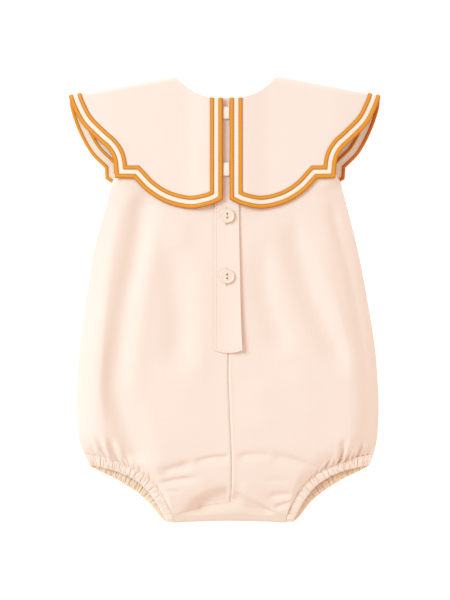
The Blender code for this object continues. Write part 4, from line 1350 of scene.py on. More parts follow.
# ---- stitching ----
@dataclass
class Stitching:
    """Rows of single stitches, each a short bead of thread that dips into the cloth at both ends."""

    pitch: float = 2.7
    stitch: float = 2.1
    thread: float = 0.17
    sunk: float = 0.2
    around: int = 6

    def row(self, name: str, path: Array, slot: Slot, material: Material) -> None:
        """One row of stitches along a line on the cloth's face, as one mesh.

        A stitch's stations lie at even shares of its length. Its radius is the thread's times the root
        of one less the square of the share, and it sinks as that square.

        Args:
            name: the piece's name.
            path: the line in x, y and z.
            slot: its material slot.
            material: its finish.
        """
        length = float(lengths(path)[-1])
        count = int(length / self.pitch)
        share = np.array([-1.0, -0.75, 0.0, 0.75, 1.0])
        places = (np.arange(count)[:, None] + 0.5) / count + share * self.stitch / (2 * length)
        middle = along(path, places.ravel()).reshape(count, len(share), 3)
        middle[..., 2] += 0.4 * self.thread - self.sunk * share**2
        way = unit(np.gradient(middle, axis=1))
        up = np.array([0, 0, 1.0])
        aside = unit(np.cross(way, up))
        turn = turns(self.around)[:, None]
        radius = (self.thread * np.sqrt(1.08 - share**2))[:, None, None]
        points = middle[:, :, None] + radius * (aside[:, :, None] * np.cos(turn) + up * np.sin(turn))
        at = np.arange(points[..., 0].size).reshape(points.shape[:3])
        wrapped = np.concatenate([at, at[..., :1]], axis=-1)
        quads = np.concatenate([grid_faces(one)[:, ::-1] for one in wrapped])
        ends = np.concatenate([at[:, 0], at[:, -1, ::-1]])
        girth = np.linspace(0, 1, self.around) * self.thread
        grain = points_of(places[..., None] * length, girth).reshape(-1, 2) * MM
        corners = np.concatenate([grain[quads].reshape(-1, 2), grain[ends].reshape(-1, 2)])
        obj = put_mesh(name, points.reshape(-1, 3), quads.tolist() + ends.tolist(), corners, material)
        dress(obj, slot)


# ---- body ----
@dataclass
class BodyPanels:
    """The two back halves, the front and the strip through the crotch."""

    outline: Outline
    heights: Heights
    puckers: Puckers
    palette: Palette
    side_round: float = 27.0
    side_power: float = 1.7
    arm_round: float = 6.0
    hem_round: float = 25.0
    hem_power: float = 2.0
    underarm: float = 92.0
    underarm_ease: float = 16.0
    hem_on_casing: float = 2.45
    back_corner: float = 0.4
    leg_corner: float = 0.12
    leg_seam_length: float = 100.0
    gather_start: float = 2.5
    gather_lead: float = 0.25
    gather_tail: float = 0.6
    gather_spread: float = 0.06
    gather_gain: float = 1.35
    puff: Triple = (0.25, 1.7, 0.8)   # height, place and width beside a tuck
    pucker_depth: float = 0.8
    pucker_reach: float = 5.5
    band_end: float = -36.0
    band_ease: float = 6.0
    seam_groove: Pair = (1.2, 0.75)   # depth and width
    seam_ridge: Triple = (0.25, 1.9, 1.1)   # height, place and width beside it
    side_fade: float = 7.0
    rim: float = 0.03
    sewn_gap: float = 0.05
    front_curl: float = 3.2
    front_corner: float = 0.3
    front_on_collar: float = 2.8
    front_on_surface: float = 30.0
    front_risen: float = 64.0
    front_hem_gap: float = 0.1
    front_smooth: Pair = (10.0, 30.0)   # where its creases start to fade, over what
    front_leg_ease: float = 0.1
    front_side_fade: float = 8.0
    gusset_half: float = 50.0
    gusset_length: float = 14.0
    gusset_edge: float = 0.12
    gusset_groove: Pair = (0.1, 1.3)   # depth and width
    back_cut: Cut = Cut(150.0, 345.0, 40700.0)
    front_cut: Cut = Cut(275.0, 345.0, 76800.0)
    gusset_cut: Cut = Cut(104.0, 40.0, 2500.0)

    def shoulder_inside(self, side: Side) -> Array:
        """The body's shoulder seam inside the collar's fold.

        Args:
            side: which side.

        Returns:
            Its points, from the neck out.
        """
        o, h = self.outline, self.heights
        neck = o.collar_curve(o.back_neckline, side)[-1, 0]
        x = np.linspace(neck, o.centre_at_neck + side.value * o.shoulder_end, 12)
        return points_of(x, o.crest(x) - h.collar_cloth - h.lay_gap)

    def gathered(self, share: Array, from_hem: Array, gathers: Sequence[Gather]) -> Array:
        """How far the leg's gathers lower the cloth.

        Each is a bell across its leaning line with a low puff on either side, deepest a few
        millimetres over the seam and eased out at its reach; the fine puckers fade off as a bell.

        Args:
            share: place along the leg seam, from 0 at the side to 1 at the crotch.
            from_hem: distance up from the seam.
            gathers: the larger tucks.

        Returns:
            The drop in millimetres.
        """
        fine = self.puckers.above_seam(share * self.outline.gusset_back_share)
        drop = self.pucker_depth * fine * bell(from_hem, self.pucker_reach)
        high, place, width = self.puff
        for gather in gathers:
            across = (share - gather.share) * self.leg_seam_length - gather.lean * from_hem
            across = across / (gather.width + self.gather_spread * from_hem)
            fade = ease(from_hem / self.gather_start + self.gather_lead)
            fade = fade * ease((gather.length - from_hem) / (self.gather_tail * gather.length))
            beside_it = high * bell(np.abs(across) - place, width)
            drop = drop + self.gather_gain * gather.depth * fade * (bell(across, 1) - beside_it)
        return drop

    def back_half(self, side: Side) -> None:
        """One back half, from the centre seam to the side and from the leg to the shoulder.

        Its height is the folded back's. Powers of the distance bring it down to the side edge and to the
        leg casing, and a quarter circle into the shoulder fold. Its inner face lies one cloth inside.

        Args:
            side: which half.
        """
        o, h, gap = self.outline, self.heights, self.heights.seam_gap
        corner = self.back_corner
        u = steps(
            quarter_steps(0.05, 9), np.linspace(0, corner, 48), np.linspace(corner, 1, 176),
            1 - quarter_steps(self.side_round / h.body_half, 12),
        )
        v = steps(np.linspace(0, 0.13, 62), np.linspace(0.13, 1, 132), 1 - quarter_steps(0.02, 8))
        u, v = tight(u, 0.0004), tight(v, 0.00015)
        leg = along(o.body_curve(o.back_leg_seam, side), np.linspace(o.gusset_back_share, 0, 160))
        hem = joined(moved_in([o.gusset_seam(side), leg], self.sewn_gap, side.value), u, [corner])
        neck = o.collar_curve(o.back_neckline, side)
        neck[-1] = self.shoulder_inside(side)[0]
        top = joined([neck, self.shoulder_inside(side)], u, [corner])
        inside = along([hem[0], top[0]], v)
        inside[:, 0] = o.seam_x(inside[:, 1]) + side.value * self.sewn_gap
        hem[0, 0], top[0, 0] = inside[0, 0], inside[-1, 0]
        outside = along(pulled_to(o.body_side(side), hem[-1], top[-1]), v)
        plan = patch(hem, top, inside, outside, u, v)
        x, y = plan[..., 0], plan[..., 1]

        from_side = apart(plan, plan[:, -1:])
        from_hem = apart(plan, plan[:1])
        arm = ease((y - self.underarm) / self.underarm_ease)
        side_round = self.side_round + (self.arm_round - self.side_round) * arm
        off_side = 1 - np.clip(1 - from_side / side_round, 0, 1) ** self.side_power
        on_leg = ease((u[None] - corner) / self.leg_corner)
        off_hem = 1 - np.clip(1 - from_hem / self.hem_round, 0, 1) ** self.hem_power * on_leg
        share = np.clip((1 - u) / (1 - corner), 0, 1)[None] + 0 * y
        casing = look_up(h.casing_rise, share)[0] + self.hem_on_casing
        side_edge = look_up(h.side_rise, y)[0] + gap / 2
        flat = h.crown(x, y) - h.creased(x, y) * off_side * off_hem
        near_seam = np.abs(x - o.seam_x(y))
        below_band = ease((self.band_end - y) / self.band_ease)
        deep, width = self.seam_groove
        flat = flat - below_band * deep * bell(near_seam, width)
        if side is Side.RIGHT:
            high, place, width = self.seam_ridge
            flat = flat + below_band * high * bell(near_seam - place, width)
        z = casing + (flat - casing) * off_hem
        z = side_edge + (z - side_edge) * off_side
        fade = on_leg * ease(from_side / self.side_fade)
        z = z - fade * self.gathered(share, from_hem, BACK_GATHERS[side])
        below_fold = o.crest(x) - h.collar_cloth - h.lay_gap - y
        radius = h.fold_radius(x) - h.collar_cloth - h.lay_gap
        turn = quarter_turn(below_fold, radius)
        base = h.fold_radius(x) + gap / 2
        z = base + (z - base) * np.sin(turn)
        outer = points_of(x, y, z)
        risen = np.sin(turn)
        move = lean(off_side) * level_in(outer[:, -1], side.value)[:, None]
        move = move + lean(off_hem) * level_in(outer[0], side.value)[None]
        move = move + lean(risen) * np.array([0, -1, 0])
        move[..., 2] = -off_side * off_hem * risen
        inner = outer + h.body_cloth * move
        name = f"back_{side.label}_cloth"
        obj = shell(name, outer, inner, plan, self.rim, self.palette.body, int(side.value))
        dress(obj, Slot.BODY, f"back_{side.label}")
        self.back_cut.declare(obj, ["front", f"leg_casing_back_{side.label}"])

    def front(self) -> None:
        """The front, which lies face down on the surface and steps up on to the front collar.

        Its outer face is level, curls up over the last millimetres to the side seams, and is pressed
        up by its creases and by the gathers of both legs.
        """
        o, h, gap, corner = self.outline, self.heights, self.heights.seam_gap, self.front_corner
        half = steps(
            quarter_steps(self.front_curl / (2 * h.body_half), 7), np.linspace(0, 0.5, 84),
            corner + (0.5 - corner) * quarter_steps(0.09, 6), [corner], least=0.0008,
        )
        u = mirrored(half)
        v = steps(
            np.linspace(0, 0.14, 46), np.linspace(0.14, 1, 100), 1 - quarter_steps(0.01, 6), least=0.0008
        )
        legs = {side: down_to(o.body_curve(o.front_leg_seam, side), o.gusset_front) for side in Side}
        left, right = legs[Side.LEFT], legs[Side.RIGHT]
        low = moved_in([left, np.array([left[-1], right[-1]]), right[::-1]], self.front_hem_gap, 1.0)
        hem = joined(low, u, [corner, 1 - corner])
        necks = {side: o.collar_curve(o.front_neckline, side) for side in Side}
        shoulders = {side: self.shoulder_inside(side)[::-1] for side in Side}
        for side in Side:
            necks[side][0] = shoulders[side][-1]
        neckline = np.vstack([necks[Side.LEFT], necks[Side.RIGHT][::-1][1:]])
        top = joined([shoulders[Side.LEFT], neckline, shoulders[Side.RIGHT][::-1]], u, [corner, 1 - corner])
        sides = [
            along(pulled_to(o.body_side(side), hem[end], top[end]), v)
            for side, end in ((Side.LEFT, 0), (Side.RIGHT, -1))
        ]
        plan = patch(hem, top, sides[0], sides[1], u, v)
        x, y = plan[..., 0], plan[..., 1]
        from_left = apart(plan, plan[:, :1])
        from_right = apart(plan, plan[:, -1:])
        from_hem = apart(plan, plan[:1])
        rise = self.front_risen - self.front_on_surface
        base = self.front_on_collar * ease((y - self.front_on_surface) / rise)
        share = np.clip(np.minimum(u, 1 - u) / corner, 0, 1)[None] + 0 * y
        start, over = self.front_smooth
        pressed = sum(crease.drop(x, y) for crease in FRONT_CREASES) * (1 - ease((y - start) / over))
        from_side = np.minimum(from_left, from_right)
        on_leg = ease((1 - share) / self.front_leg_ease) * ease(from_side / self.front_side_fade)
        pressed = pressed + on_leg * np.maximum(self.gathered(share, from_hem, FRONT_GATHERS), 0)
        side_edge = look_up(h.side_rise, y)[1] - gap / 2
        off_side = quarter(from_side, self.front_curl)
        z = side_edge + (base + pressed - side_edge) * off_side
        shoulder = h.fold_radius(x) - gap / 2
        off_shoulder = quarter(o.crest(x) - h.collar_cloth - h.lay_gap - y, self.front_curl)
        z = shoulder + (z - shoulder) * off_shoulder
        outer = points_of(x, y, z)
        from_edge = [level_in(outer[:, column], turn)[:, None] for column, turn in ((0, -1.0), (-1, 1.0))]
        inwards = np.where((from_left < from_right)[..., None], from_edge[0], from_edge[1])
        move = lean(off_side) * inwards + lean(off_shoulder) * np.array([0, -1, 0])
        move[..., 2] = off_side * off_shoulder
        inner = outer + h.body_cloth * move
        obj = shell("front_cloth", outer, inner, plan, self.rim, self.palette.body, -1)
        dress(obj, Slot.BODY, "front")
        self.front_cut.declare(obj, ["collar_front"])

    def gusset(self) -> None:
        """The crotch strip, from the back seam over the fold to the front seam.

        Its rows run down the back's height with its folds, round a half circle at the lowest edge, and
        back along the surface.
        """
        o, h, gap = self.outline, self.heights, self.sewn_gap
        u = tight(np.linspace(0, 1, 97), 0.0006)
        back = joined([o.gusset_seam(Side.LEFT)[::-1], o.gusset_seam(Side.RIGHT)], u, [0.5])
        back[:, 1] -= gap
        front = along([down_to(o.body_curve(o.front_leg_seam, s), o.gusset_front)[-1] for s in Side], u)
        front[:, 1] -= gap
        across = 2 * u - 1
        half = o.front_leg_seam[-1][0] - 2 * gap
        fold = np.column_stack([
            o.centre_line(o.crotch_fold) + half * across, o.crotch_fold + o.crotch_arch * (1 - across**2),
        ])
        middle = np.array([o.centre_line(o.gusset_front), 0])
        narrow = np.array([1 - 2 * gap / self.gusset_half, 1.0])
        back, front = middle + (back - middle) * narrow, middle + (front - middle) * narrow
        turned_in = fold + np.array([0, o.crotch_round])
        rows, plans = [], []
        edge = ease((1 - np.abs(across)) / self.gusset_edge)
        deep, width = self.gusset_groove
        for share in tight(np.linspace(0, 1, 22), 0.004):
            plan = back + share * (turned_in - back)
            drop = h.creased(plan[:, 0], plan[:, 1]) * edge * (1 - ease((share - 0.15) / 0.85))
            seam = deep * bell(share * self.gusset_length, width)
            rows.append(np.column_stack([plan, h.crown(plan[:, 0], plan[:, 1]) - drop - seam]))
            plans.append(plan)
        tall = h.crown(turned_in[:, 0], turned_in[:, 1])
        for turn in np.radians(np.linspace(90, -90, 21))[1:]:
            y = fold[:, 1] + o.crotch_round * (1 - np.cos(turn))
            rows.append(np.column_stack([fold[:, 0], y, tall / 2 * (1 + np.sin(turn))]))
            plans.append(plans[-1] - np.array([0, 0.7]))
        for share in tight(np.linspace(0, 1, 9), 0.008)[1:]:
            plan = turned_in + share * (front - turned_in)
            rows.append(np.column_stack([plan, np.zeros_like(u)]))
            plans.append(plans[-1] - np.array([0, 0.6]))
        outer = np.array(rows)[::-1]
        along_rows, along_columns = np.gradient(outer, axis=0), np.gradient(outer, axis=1)
        normal = unit(np.cross(along_columns, along_rows))
        inner = outer - h.body_cloth * normal
        # the crotch strip's cloth is the body's, darker as painted shade
        obj = shell("crotch_gusset_cloth", outer, inner, np.array(plans)[::-1], self.rim, self.palette.gusset)
        dress(obj, Slot.BODY, "crotch_gusset")
        self.gusset_cut.declare(obj, ["front"])

    def build(self) -> None:
        """Makes and dresses every panel."""
        for side in Side:
            self.back_half(side)
        self.front()
        self.gusset()


# ---- leg casings ----
@dataclass
class LegCasings:
    """The four gathered casings that hold the elastic round the leg openings."""

    outline: Outline
    heights: Heights
    puckers: Puckers
    stitching: Stitching
    palette: Palette
    thick: float = 3.1
    overlap: float = 1.4
    tilt: float = 0.3
    stations: int = 620
    around: int = 26
    groove: float = 0.75
    edge_wave: float = 0.45
    slant: float = 0.014
    tip: float = 0.035
    squares: Pair = (2.7, 2.4)   # of the section across and over
    slant_waves: float = 37.0
    end_share: float = 0.012
    puff: float = 0.25
    # how strongly the puckers' grooves are painted with shade
    tuck_shade_gain: float = 1.3
    end_height: float = 0.82
    tip_height: float = 0.72
    stitch_share: float = 0.84
    stitch_width: float = 0.07
    stitch_groove: float = 0.2
    cut: Cut = Cut(116.0, 10.6, 1229.0, "gathered")

    def casing(
        self, name: str, hem: Array, seam: Array, rise: Pairs, tilt: float, material: Material
    ) -> None:
        """One casing as rings across it.

        Each ring is a superellipse between the hem and the seam. A pucker's groove lowers its top and
        draws its free edge in, and slants a little from one edge to the other. A thin groove near the
        seam follows the row of stitches.

        Args:
            name: the node that it stands for.
            hem, seam: its two edges in x and y.
            rise: height of its underside by share from the side.
            tilt: how much higher its top lies at the seam than at the free edge.
            material: its finish.
        """
        share = np.linspace(0, 1, self.stations)
        turn = turns(self.around)
        across = 0.5 - 0.5 * squared(np.cos(turn), self.squares[0])
        over = squared(np.sin(turn), self.squares[1])
        upper = np.clip(over, 0, 1)[None]
        low = look_up(rise, share)[0][:, None]
        wave = self.slant * np.sin(self.slant_waves * share)[:, None]
        slanted = share[:, None] + wave * (across[None] - 0.5)
        groove = self.puckers.groove(slanted, across[None])
        ends = ease(np.minimum(share, 1 - share) / self.end_share)[:, None]
        outer, inner = along(hem, share)[:, None], along(seam, share)[:, None]
        way = unit(inner - outer)
        inner = inner + way * self.overlap * ends[:, :, None]
        drawn = self.edge_wave * groove * (1 - across[None]) * ends
        plan = outer + across[None, :, None] * (inner - outer) + way * drawn[..., None]
        stitched = self.stitch_groove * bell(across[None] - self.stitch_share, self.stitch_width)
        top = self.thick * (0.5 + 0.5 * over[None]) * (self.end_height + (1 - self.end_height) * ends)
        full = np.sqrt(np.clip((1 - share) / self.tip, 0.02, 1))
        top = top * (self.tip_height + (1 - self.tip_height) * full)[:, None]
        top = top - (self.groove * groove * ends + stitched) * upper
        puffed = self.puff * (1 - groove) * upper * ends
        z = low + np.maximum(top + puffed + tilt * across[None] * upper, 0)
        rings = np.concatenate([plan, z[..., None]], axis=-1)
        on_top = np.where(over > 0, np.abs(across - self.stitch_share), np.inf)
        line = rings[:, on_top.argmin()]
        # painted shade: deeper in each pucker's groove
        tuck_shade_mask = np.clip(self.tuck_shade_gain * groove * ends, 0, 1)
        if Side.RIGHT.label in name:
            rings, tuck_shade_mask = rings[:, ::-1], tuck_shade_mask[:, ::-1]
        obj = loft(f"{name}_cloth", rings, material)
        mark_sides(obj, tuck_shade_mask)
        dress(obj, Slot.BODY, name)
        self.cut.declare(obj, ["front" if "back" in name else "crotch_gusset"])
        self.stitching.row(f"{name}_stitching", line[4:-8], Slot.BODY, self.palette.peach_thread)

    def build(self) -> None:
        """Makes and dresses the casings of both legs."""
        o, palette = self.outline, self.palette
        rise, level = self.heights.casing_rise, ((0, 0), (0.5, 0), (1, 0))
        # back casings take the lighter cloth as painted light; front casings take the darker cloth as painted
        # shade
        kinds = (
            ("back", o.back_leg_hem, o.back_leg_seam, rise, self.tilt, palette.gathered),
            ("front", o.front_leg_hem, o.front_leg_seam, level, 0.0, palette.inside),
        )
        for side in Side:
            for place, hem, seam, *rest in kinds:
                edges = (o.body_curve(hem, side), o.body_curve(seam, side))
                self.casing(f"leg_casing_{place}_{side.label}", *edges, *rest)


# ---- placket, tabs and buttons ----
@dataclass
class Placket:
    """The button band down the centre back, with its free right edge standing up at the bottom."""

    heights: Heights
    stitching: Stitching
    palette: Palette
    rows: Pairs = (   # height, left edge, right edge, how far the right edge stands up
        (-43.2, -8.4, 15.2, 2.6), (-20, -8.4, 14.1, 1.9), (20, -8.3, 13.2, 0.9), (84, -8.3, 12.3, 0),
        (175.4, -8.3, 12.3, 0),
    )
    dip: float = 2.4
    groove: float = 0.14
    groove_from_edge: float = 1.5
    groove_width: float = 0.5
    cut: Cut = Cut(23.0, 221.0, 4830.0)

    def height(self, x: Array, y: Array) -> Array:
        """The band's upper face: the back's height plus the gap and the cloth."""
        return self.heights.back(x, y) + self.heights.lay_gap + self.heights.body_cloth

    def build(self) -> None:
        """Makes the band.

        Its rows dip at the middle of the lower end, its right edge rises as the cube of the share
        across, and a groove follows the stitches inside its left edge and its lower end.
        """
        low, high = self.rows[0][0], self.rows[-1][0]
        v = steps(quarter_steps(0.03, 8), np.linspace(0, 1, 170))
        u = steps(quarter_steps(0.12, 8), np.linspace(0, 1, 40), 1 - quarter_steps(0.12, 8))
        y = low + (high - low) * v
        left, right, lift = look_up(self.rows, y)
        dip = self.dip * (1 - (2 * u - 1) ** 2)[None] * ((1 - v) ** 8)[:, None]
        x = left[:, None] + (right - left)[:, None] * u[None]
        y = y[:, None] - dip
        z = self.height(x, y) + lift[:, None] * (u**3)[None]
        from_left = x - left[:, None]
        from_low = (y - y[:1]) + 0 * x
        for distance in (from_left, from_low):
            z = z - self.groove * bell(distance - self.groove_from_edge, self.groove_width)
        z = z + 0.12 * uneven(x * 2.2 + 40, y * 1.4)
        outer = points_of(x, y, z)
        inner = outer - np.array([0, 0, self.heights.body_cloth])
        obj = shell("placket_cloth", outer, inner, outer[..., :2], 0.35, self.palette.body)
        dress(obj, Slot.BODY, "placket")
        self.cut.declare(obj, ["back_left", "back_right"])
        near_left = np.abs(from_left.mean(axis=0) - self.groove_from_edge).argmin()
        near_low = np.abs(from_low[:, 0] - self.groove_from_edge).argmin()
        runs = {"side": outer[near_low:-6, near_left], "end": outer[near_low, near_left:-4]}
        for place, run in runs.items():
            self.stitching.row(f"placket_{place}_stitching", run, Slot.BODY, self.palette.peach_thread)


@dataclass
class Tabs:
    """The two small ivory tabs that cross the gap between the flaps."""

    placket: Placket
    palette: Palette
    spans: Pairs = ((157.0, 167.0), (107.6, 118.6))
    names: tuple[str, ...] = ("tab_upper", "tab_lower")
    left: float = -7.0
    right: float = 10.0
    thick: float = 0.8
    gap: float = 0.3
    bow: float = 0.9
    bow_half: float = 3.4
    bow_ease: float = 0.8
    arch: float = 0.25
    groove: Triple = (0.16, 1.1, 0.4)   # depth, distance from the edge, width
    cuts: tuple[Cut, ...] = (Cut(17.2, 10.2, 172.0), Cut(17.2, 11.2, 189.0))

    def build(self) -> None:
        """Makes each tab as a strip over the band, bowed up between the flaps, with a sewn groove."""
        middle = (self.left + self.right) / 2
        deep, place, width = self.groove
        for name, (low, high), cut in zip(self.names, self.spans, self.cuts):
            x, y = np.meshgrid(np.linspace(self.left, self.right, 50), np.linspace(low, high, 34))
            edge = np.minimum(np.minimum(x - self.left, self.right - x), np.minimum(y - low, high - y))
            arch = self.arch * (1 - ((y - low) / (high - low) * 2 - 1) ** 2)
            z = self.placket.height(x, y) + self.gap + self.thick + arch
            z = z + self.bow * ease((self.bow_half - np.abs(x - middle)) / self.bow_ease)
            z = z - deep * bell(edge - place, width)
            outer = points_of(x, y, z)
            inner = outer - np.array([0, 0, self.thick])
            obj = shell(f"{name}_tape", outer, inner, outer[..., :2], 0.25, self.palette.tape)
            mark_sides(obj, np.zeros(len(obj.data.vertices)))
            dress(obj, Slot.IVORY, name)
            cut.declare(obj, ["placket"])


@dataclass
class Buttons:
    """The two sewn-on shirt buttons, each with its thread and the ends of its buttonhole."""

    placket: Placket
    palette: Palette
    places: Pairs = ((2.35, 72.7), (2.35, 20.2))
    names: tuple[str, ...] = ("button_upper", "button_lower")
    profile: Pairs = (   # radius and height, from the dish over the rim to the back
        (0.0, 1.86), (3.4, 1.86), (4.75, 1.88), (5.1, 1.96), (5.35, 2.07), (5.6, 2.1), (5.82, 2.04),
        (6.05, 1.84), (6.25, 1.5), (6.35, 1.15), (6.25, 0.72), (5.9, 0.3), (5.3, 0.06), (4.4, 0.0),
        (0.0, 0.0),
    )
    radius: float = 6.35
    thread: float = 0.12
    knot: Pairs = ((0.25, 1.42), (0.6, 1.36), (0.74, 1.2), (0.74, 0.5))   # radius and height in a hole
    knot_hole: float = 0.8
    around_thread: int = 8
    sharp_angle: float = 38.0
    hole_reach: float = 7.65   # of the buttonhole from its middle along the garment
    hole_half: float = 0.62
    hole_aside: float = 0.55
    bead: float = 0.34
    teeth: int = 96
    segments: int = 96
    hole_radius: float = 0.85
    hole_spacing: float = 3.4
    stand: float = 0.3
    extra: float = 0.1

    def frame_at(self, x: float, y: float) -> Pair:
        """The height of a button's underside and the band's slope along the garment there.

        Args:
            x, y: the button's place.

        Returns:
            Its height, and the slope in radians.
        """
        reach = self.radius
        z = self.placket.height(np.array([x, x, x]), np.array([y, y + reach, y - reach]))
        slope = math.atan2(float(z[1] - z[2]), 2 * reach)
        return float(max(z[0], (z[1] + z[2]) / 2)) + self.stand + self.extra, slope

    def placed(self, points: Array, place: Pair) -> Array:
        """Points of a button's own space, tilted with the band and moved to it.

        Args:
            points: the points.
            place: the button's x and y.

        Returns:
            The points on the garment.
        """
        z, slope = self.frame_at(*place)
        turned = points[..., 1] * math.cos(slope) - points[..., 2] * math.sin(slope)
        risen = points[..., 1] * math.sin(slope) + points[..., 2] * math.cos(slope)
        return np.stack([points[..., 0] + place[0], turned + place[1], risen + z], axis=-1)

    def drilled(self, name: str) -> bpy.types.Mesh:
        """The button's mesh: the profile turned once round, less two round holes.

        Args:
            name: the piece's name.

        Returns:
            The mesh, in metres.
        """
        profile = smooth(self.profile, 3)
        radius, height = profile[1:-1, 0], profile[1:-1, 1]
        turn = turns(self.segments)
        rings = points_of(radius[:, None] * np.cos(turn), radius[:, None] * np.sin(turn), height[:, None])
        round_ = loft(name, rings[:, ::-1], self.palette.button)
        for place in (-0.5, 0.5):
            x = self.hole_radius * np.cos(turn[::4])
            y = self.hole_radius * np.sin(turn[::4]) + place * self.hole_spacing
            ring = points_of(x, y)
            drill = np.stack([np.column_stack([ring, np.full(len(ring), z)]) for z in (4.0, -1.0)])
            cutter = loft(f"{name}_drill", drill, self.palette.button)
            cut = round_.modifiers.new("Hole", "BOOLEAN")
            cut.operation, cut.object, cut.solver = "DIFFERENCE", cutter, "EXACT"
            bpy.context.view_layer.update()
            graph = bpy.context.evaluated_depsgraph_get()
            made = bpy.data.meshes.new_from_object(round_.evaluated_get(graph))
            round_.modifiers.clear()
            round_.data = made
            bpy.data.objects.remove(cutter)
        mesh = round_.data
        bpy.data.objects.remove(round_)
        return mesh

    def strands(self, place: Pair) -> Array:
        """Two strands of thread arching from one hole to the other.

        Args:
            place: the button's x and y.

        Returns:
            The rings of both.
        """
        share = np.linspace(0, 1, 15)
        reach = self.hole_spacing / 2 - 0.45
        y = (2 * share - 1) * reach
        z = 1.86 + 0.16 * np.sin(np.pi * share) ** 0.5 - 0.9 * (np.abs(2 * share - 1) > 0.98)
        turn, thick = turns(self.around_thread), self.thread
        strands = []
        for aside in (-0.2, 0.2):
            bow = aside * (0.7 + 0.5 * np.sin(np.pi * share))
            x = bow[:, None] + thick * np.cos(turn)
            rings = points_of(x, y[:, None], z[:, None] + thick * np.sin(turn))
            strands.append(self.placed(rings, place))
        return np.array(strands)

    def knots(self, place: Pair) -> Array:
        """The thread packed into each hole, dark brown so that it also paints the shade inside the hole.

        Args:
            place: the button's x and y.

        Returns:
            The rings of both, from the top down.
        """
        turn = turns(16)
        radius, height = np.array(self.knot).T[..., None]
        radius = radius * self.hole_radius / self.knot_hole
        rings = points_of(radius * np.cos(turn), radius * np.sin(turn), height)
        aside = np.array([0, self.hole_spacing / 2, 0])
        return np.array([self.placed(rings[:, ::-1] + way * aside, place) for way in (-1, 1)])

    def build(self) -> None:
        """Makes both buttons with their threads and the stitched ends of their buttonholes."""
        for name, place in zip(self.names, self.places):
            mesh = self.drilled(f"{name}_disc")
            count = len(mesh.vertices)
            points = np.zeros(count * 3, np.float32)
            mesh.vertices.foreach_get("co", points)
            placed = self.placed(points.reshape(-1, 3) / MM, place) * MM
            mesh.vertices.foreach_set("co", placed.astype(np.float32).ravel())
            mesh.shade_smooth()
            mesh.set_sharp_from_angle(angle=math.radians(self.sharp_angle))
            mesh.update()
            obj = bpy.data.objects.new(f"{name}_disc", mesh)
            bpy.context.scene.collection.objects.link(obj)
            dress(obj, Slot.BUTTON, name)
            for number, rings in enumerate(self.strands(place)):
                dress(loft(f"{name}_thread_{number + 1}", rings, self.palette.pale_thread), Slot.IVORY)
            for number, rings in enumerate(self.knots(place)):
                dress(loft(f"{name}_knot_{number + 1}", rings, self.palette.thread), Slot.IVORY)
            self.buttonhole(name, place)

    def buttonhole(self, name: str, place: Pair) -> None:
        """The close-stitched edges of the buttonhole, which peep out above and below the button.

        It is a long ring: a stadium whose straight sides lie along the garment, with a bead section.

        Args:
            name: the button's name.
            place: its x and y.
        """
        turn, section, bead = turns(self.teeth), turns(self.around_thread), self.bead
        x = place[0] - self.hole_aside + self.hole_half * np.clip(1.25 * np.cos(turn), -1, 1)
        y = place[1] - self.hole_aside + self.hole_reach * np.clip(1.05 * np.sin(turn), -1, 1)
        tooth = 1 + 0.22 * np.sin(turn * self.teeth)
        out = unit(points_of(np.cos(turn), 0.35 * np.sin(turn)))
        base = self.placket.height(x, y) + 0.05
        rings = points_of(
            x[:, None] + out[:, :1] * bead * tooth[:, None] * np.cos(section)[None],
            y[:, None] + out[:, 1:] * bead * tooth[:, None] * np.cos(section)[None],
            base[:, None] + bead * np.sin(section)[None],
        )
        dress(loft(f"{name}_hole_stitching", rings, self.palette.peach_thread, closed=True), Slot.BODY)


# ---- collar ----
@dataclass(frozen=True)
class Strip:
    """A trim strip of the collar's border: distances in from the edge, and heights over the cloth."""

    name: str
    start: float
    end: float
    low: float
    high: float
    square: float


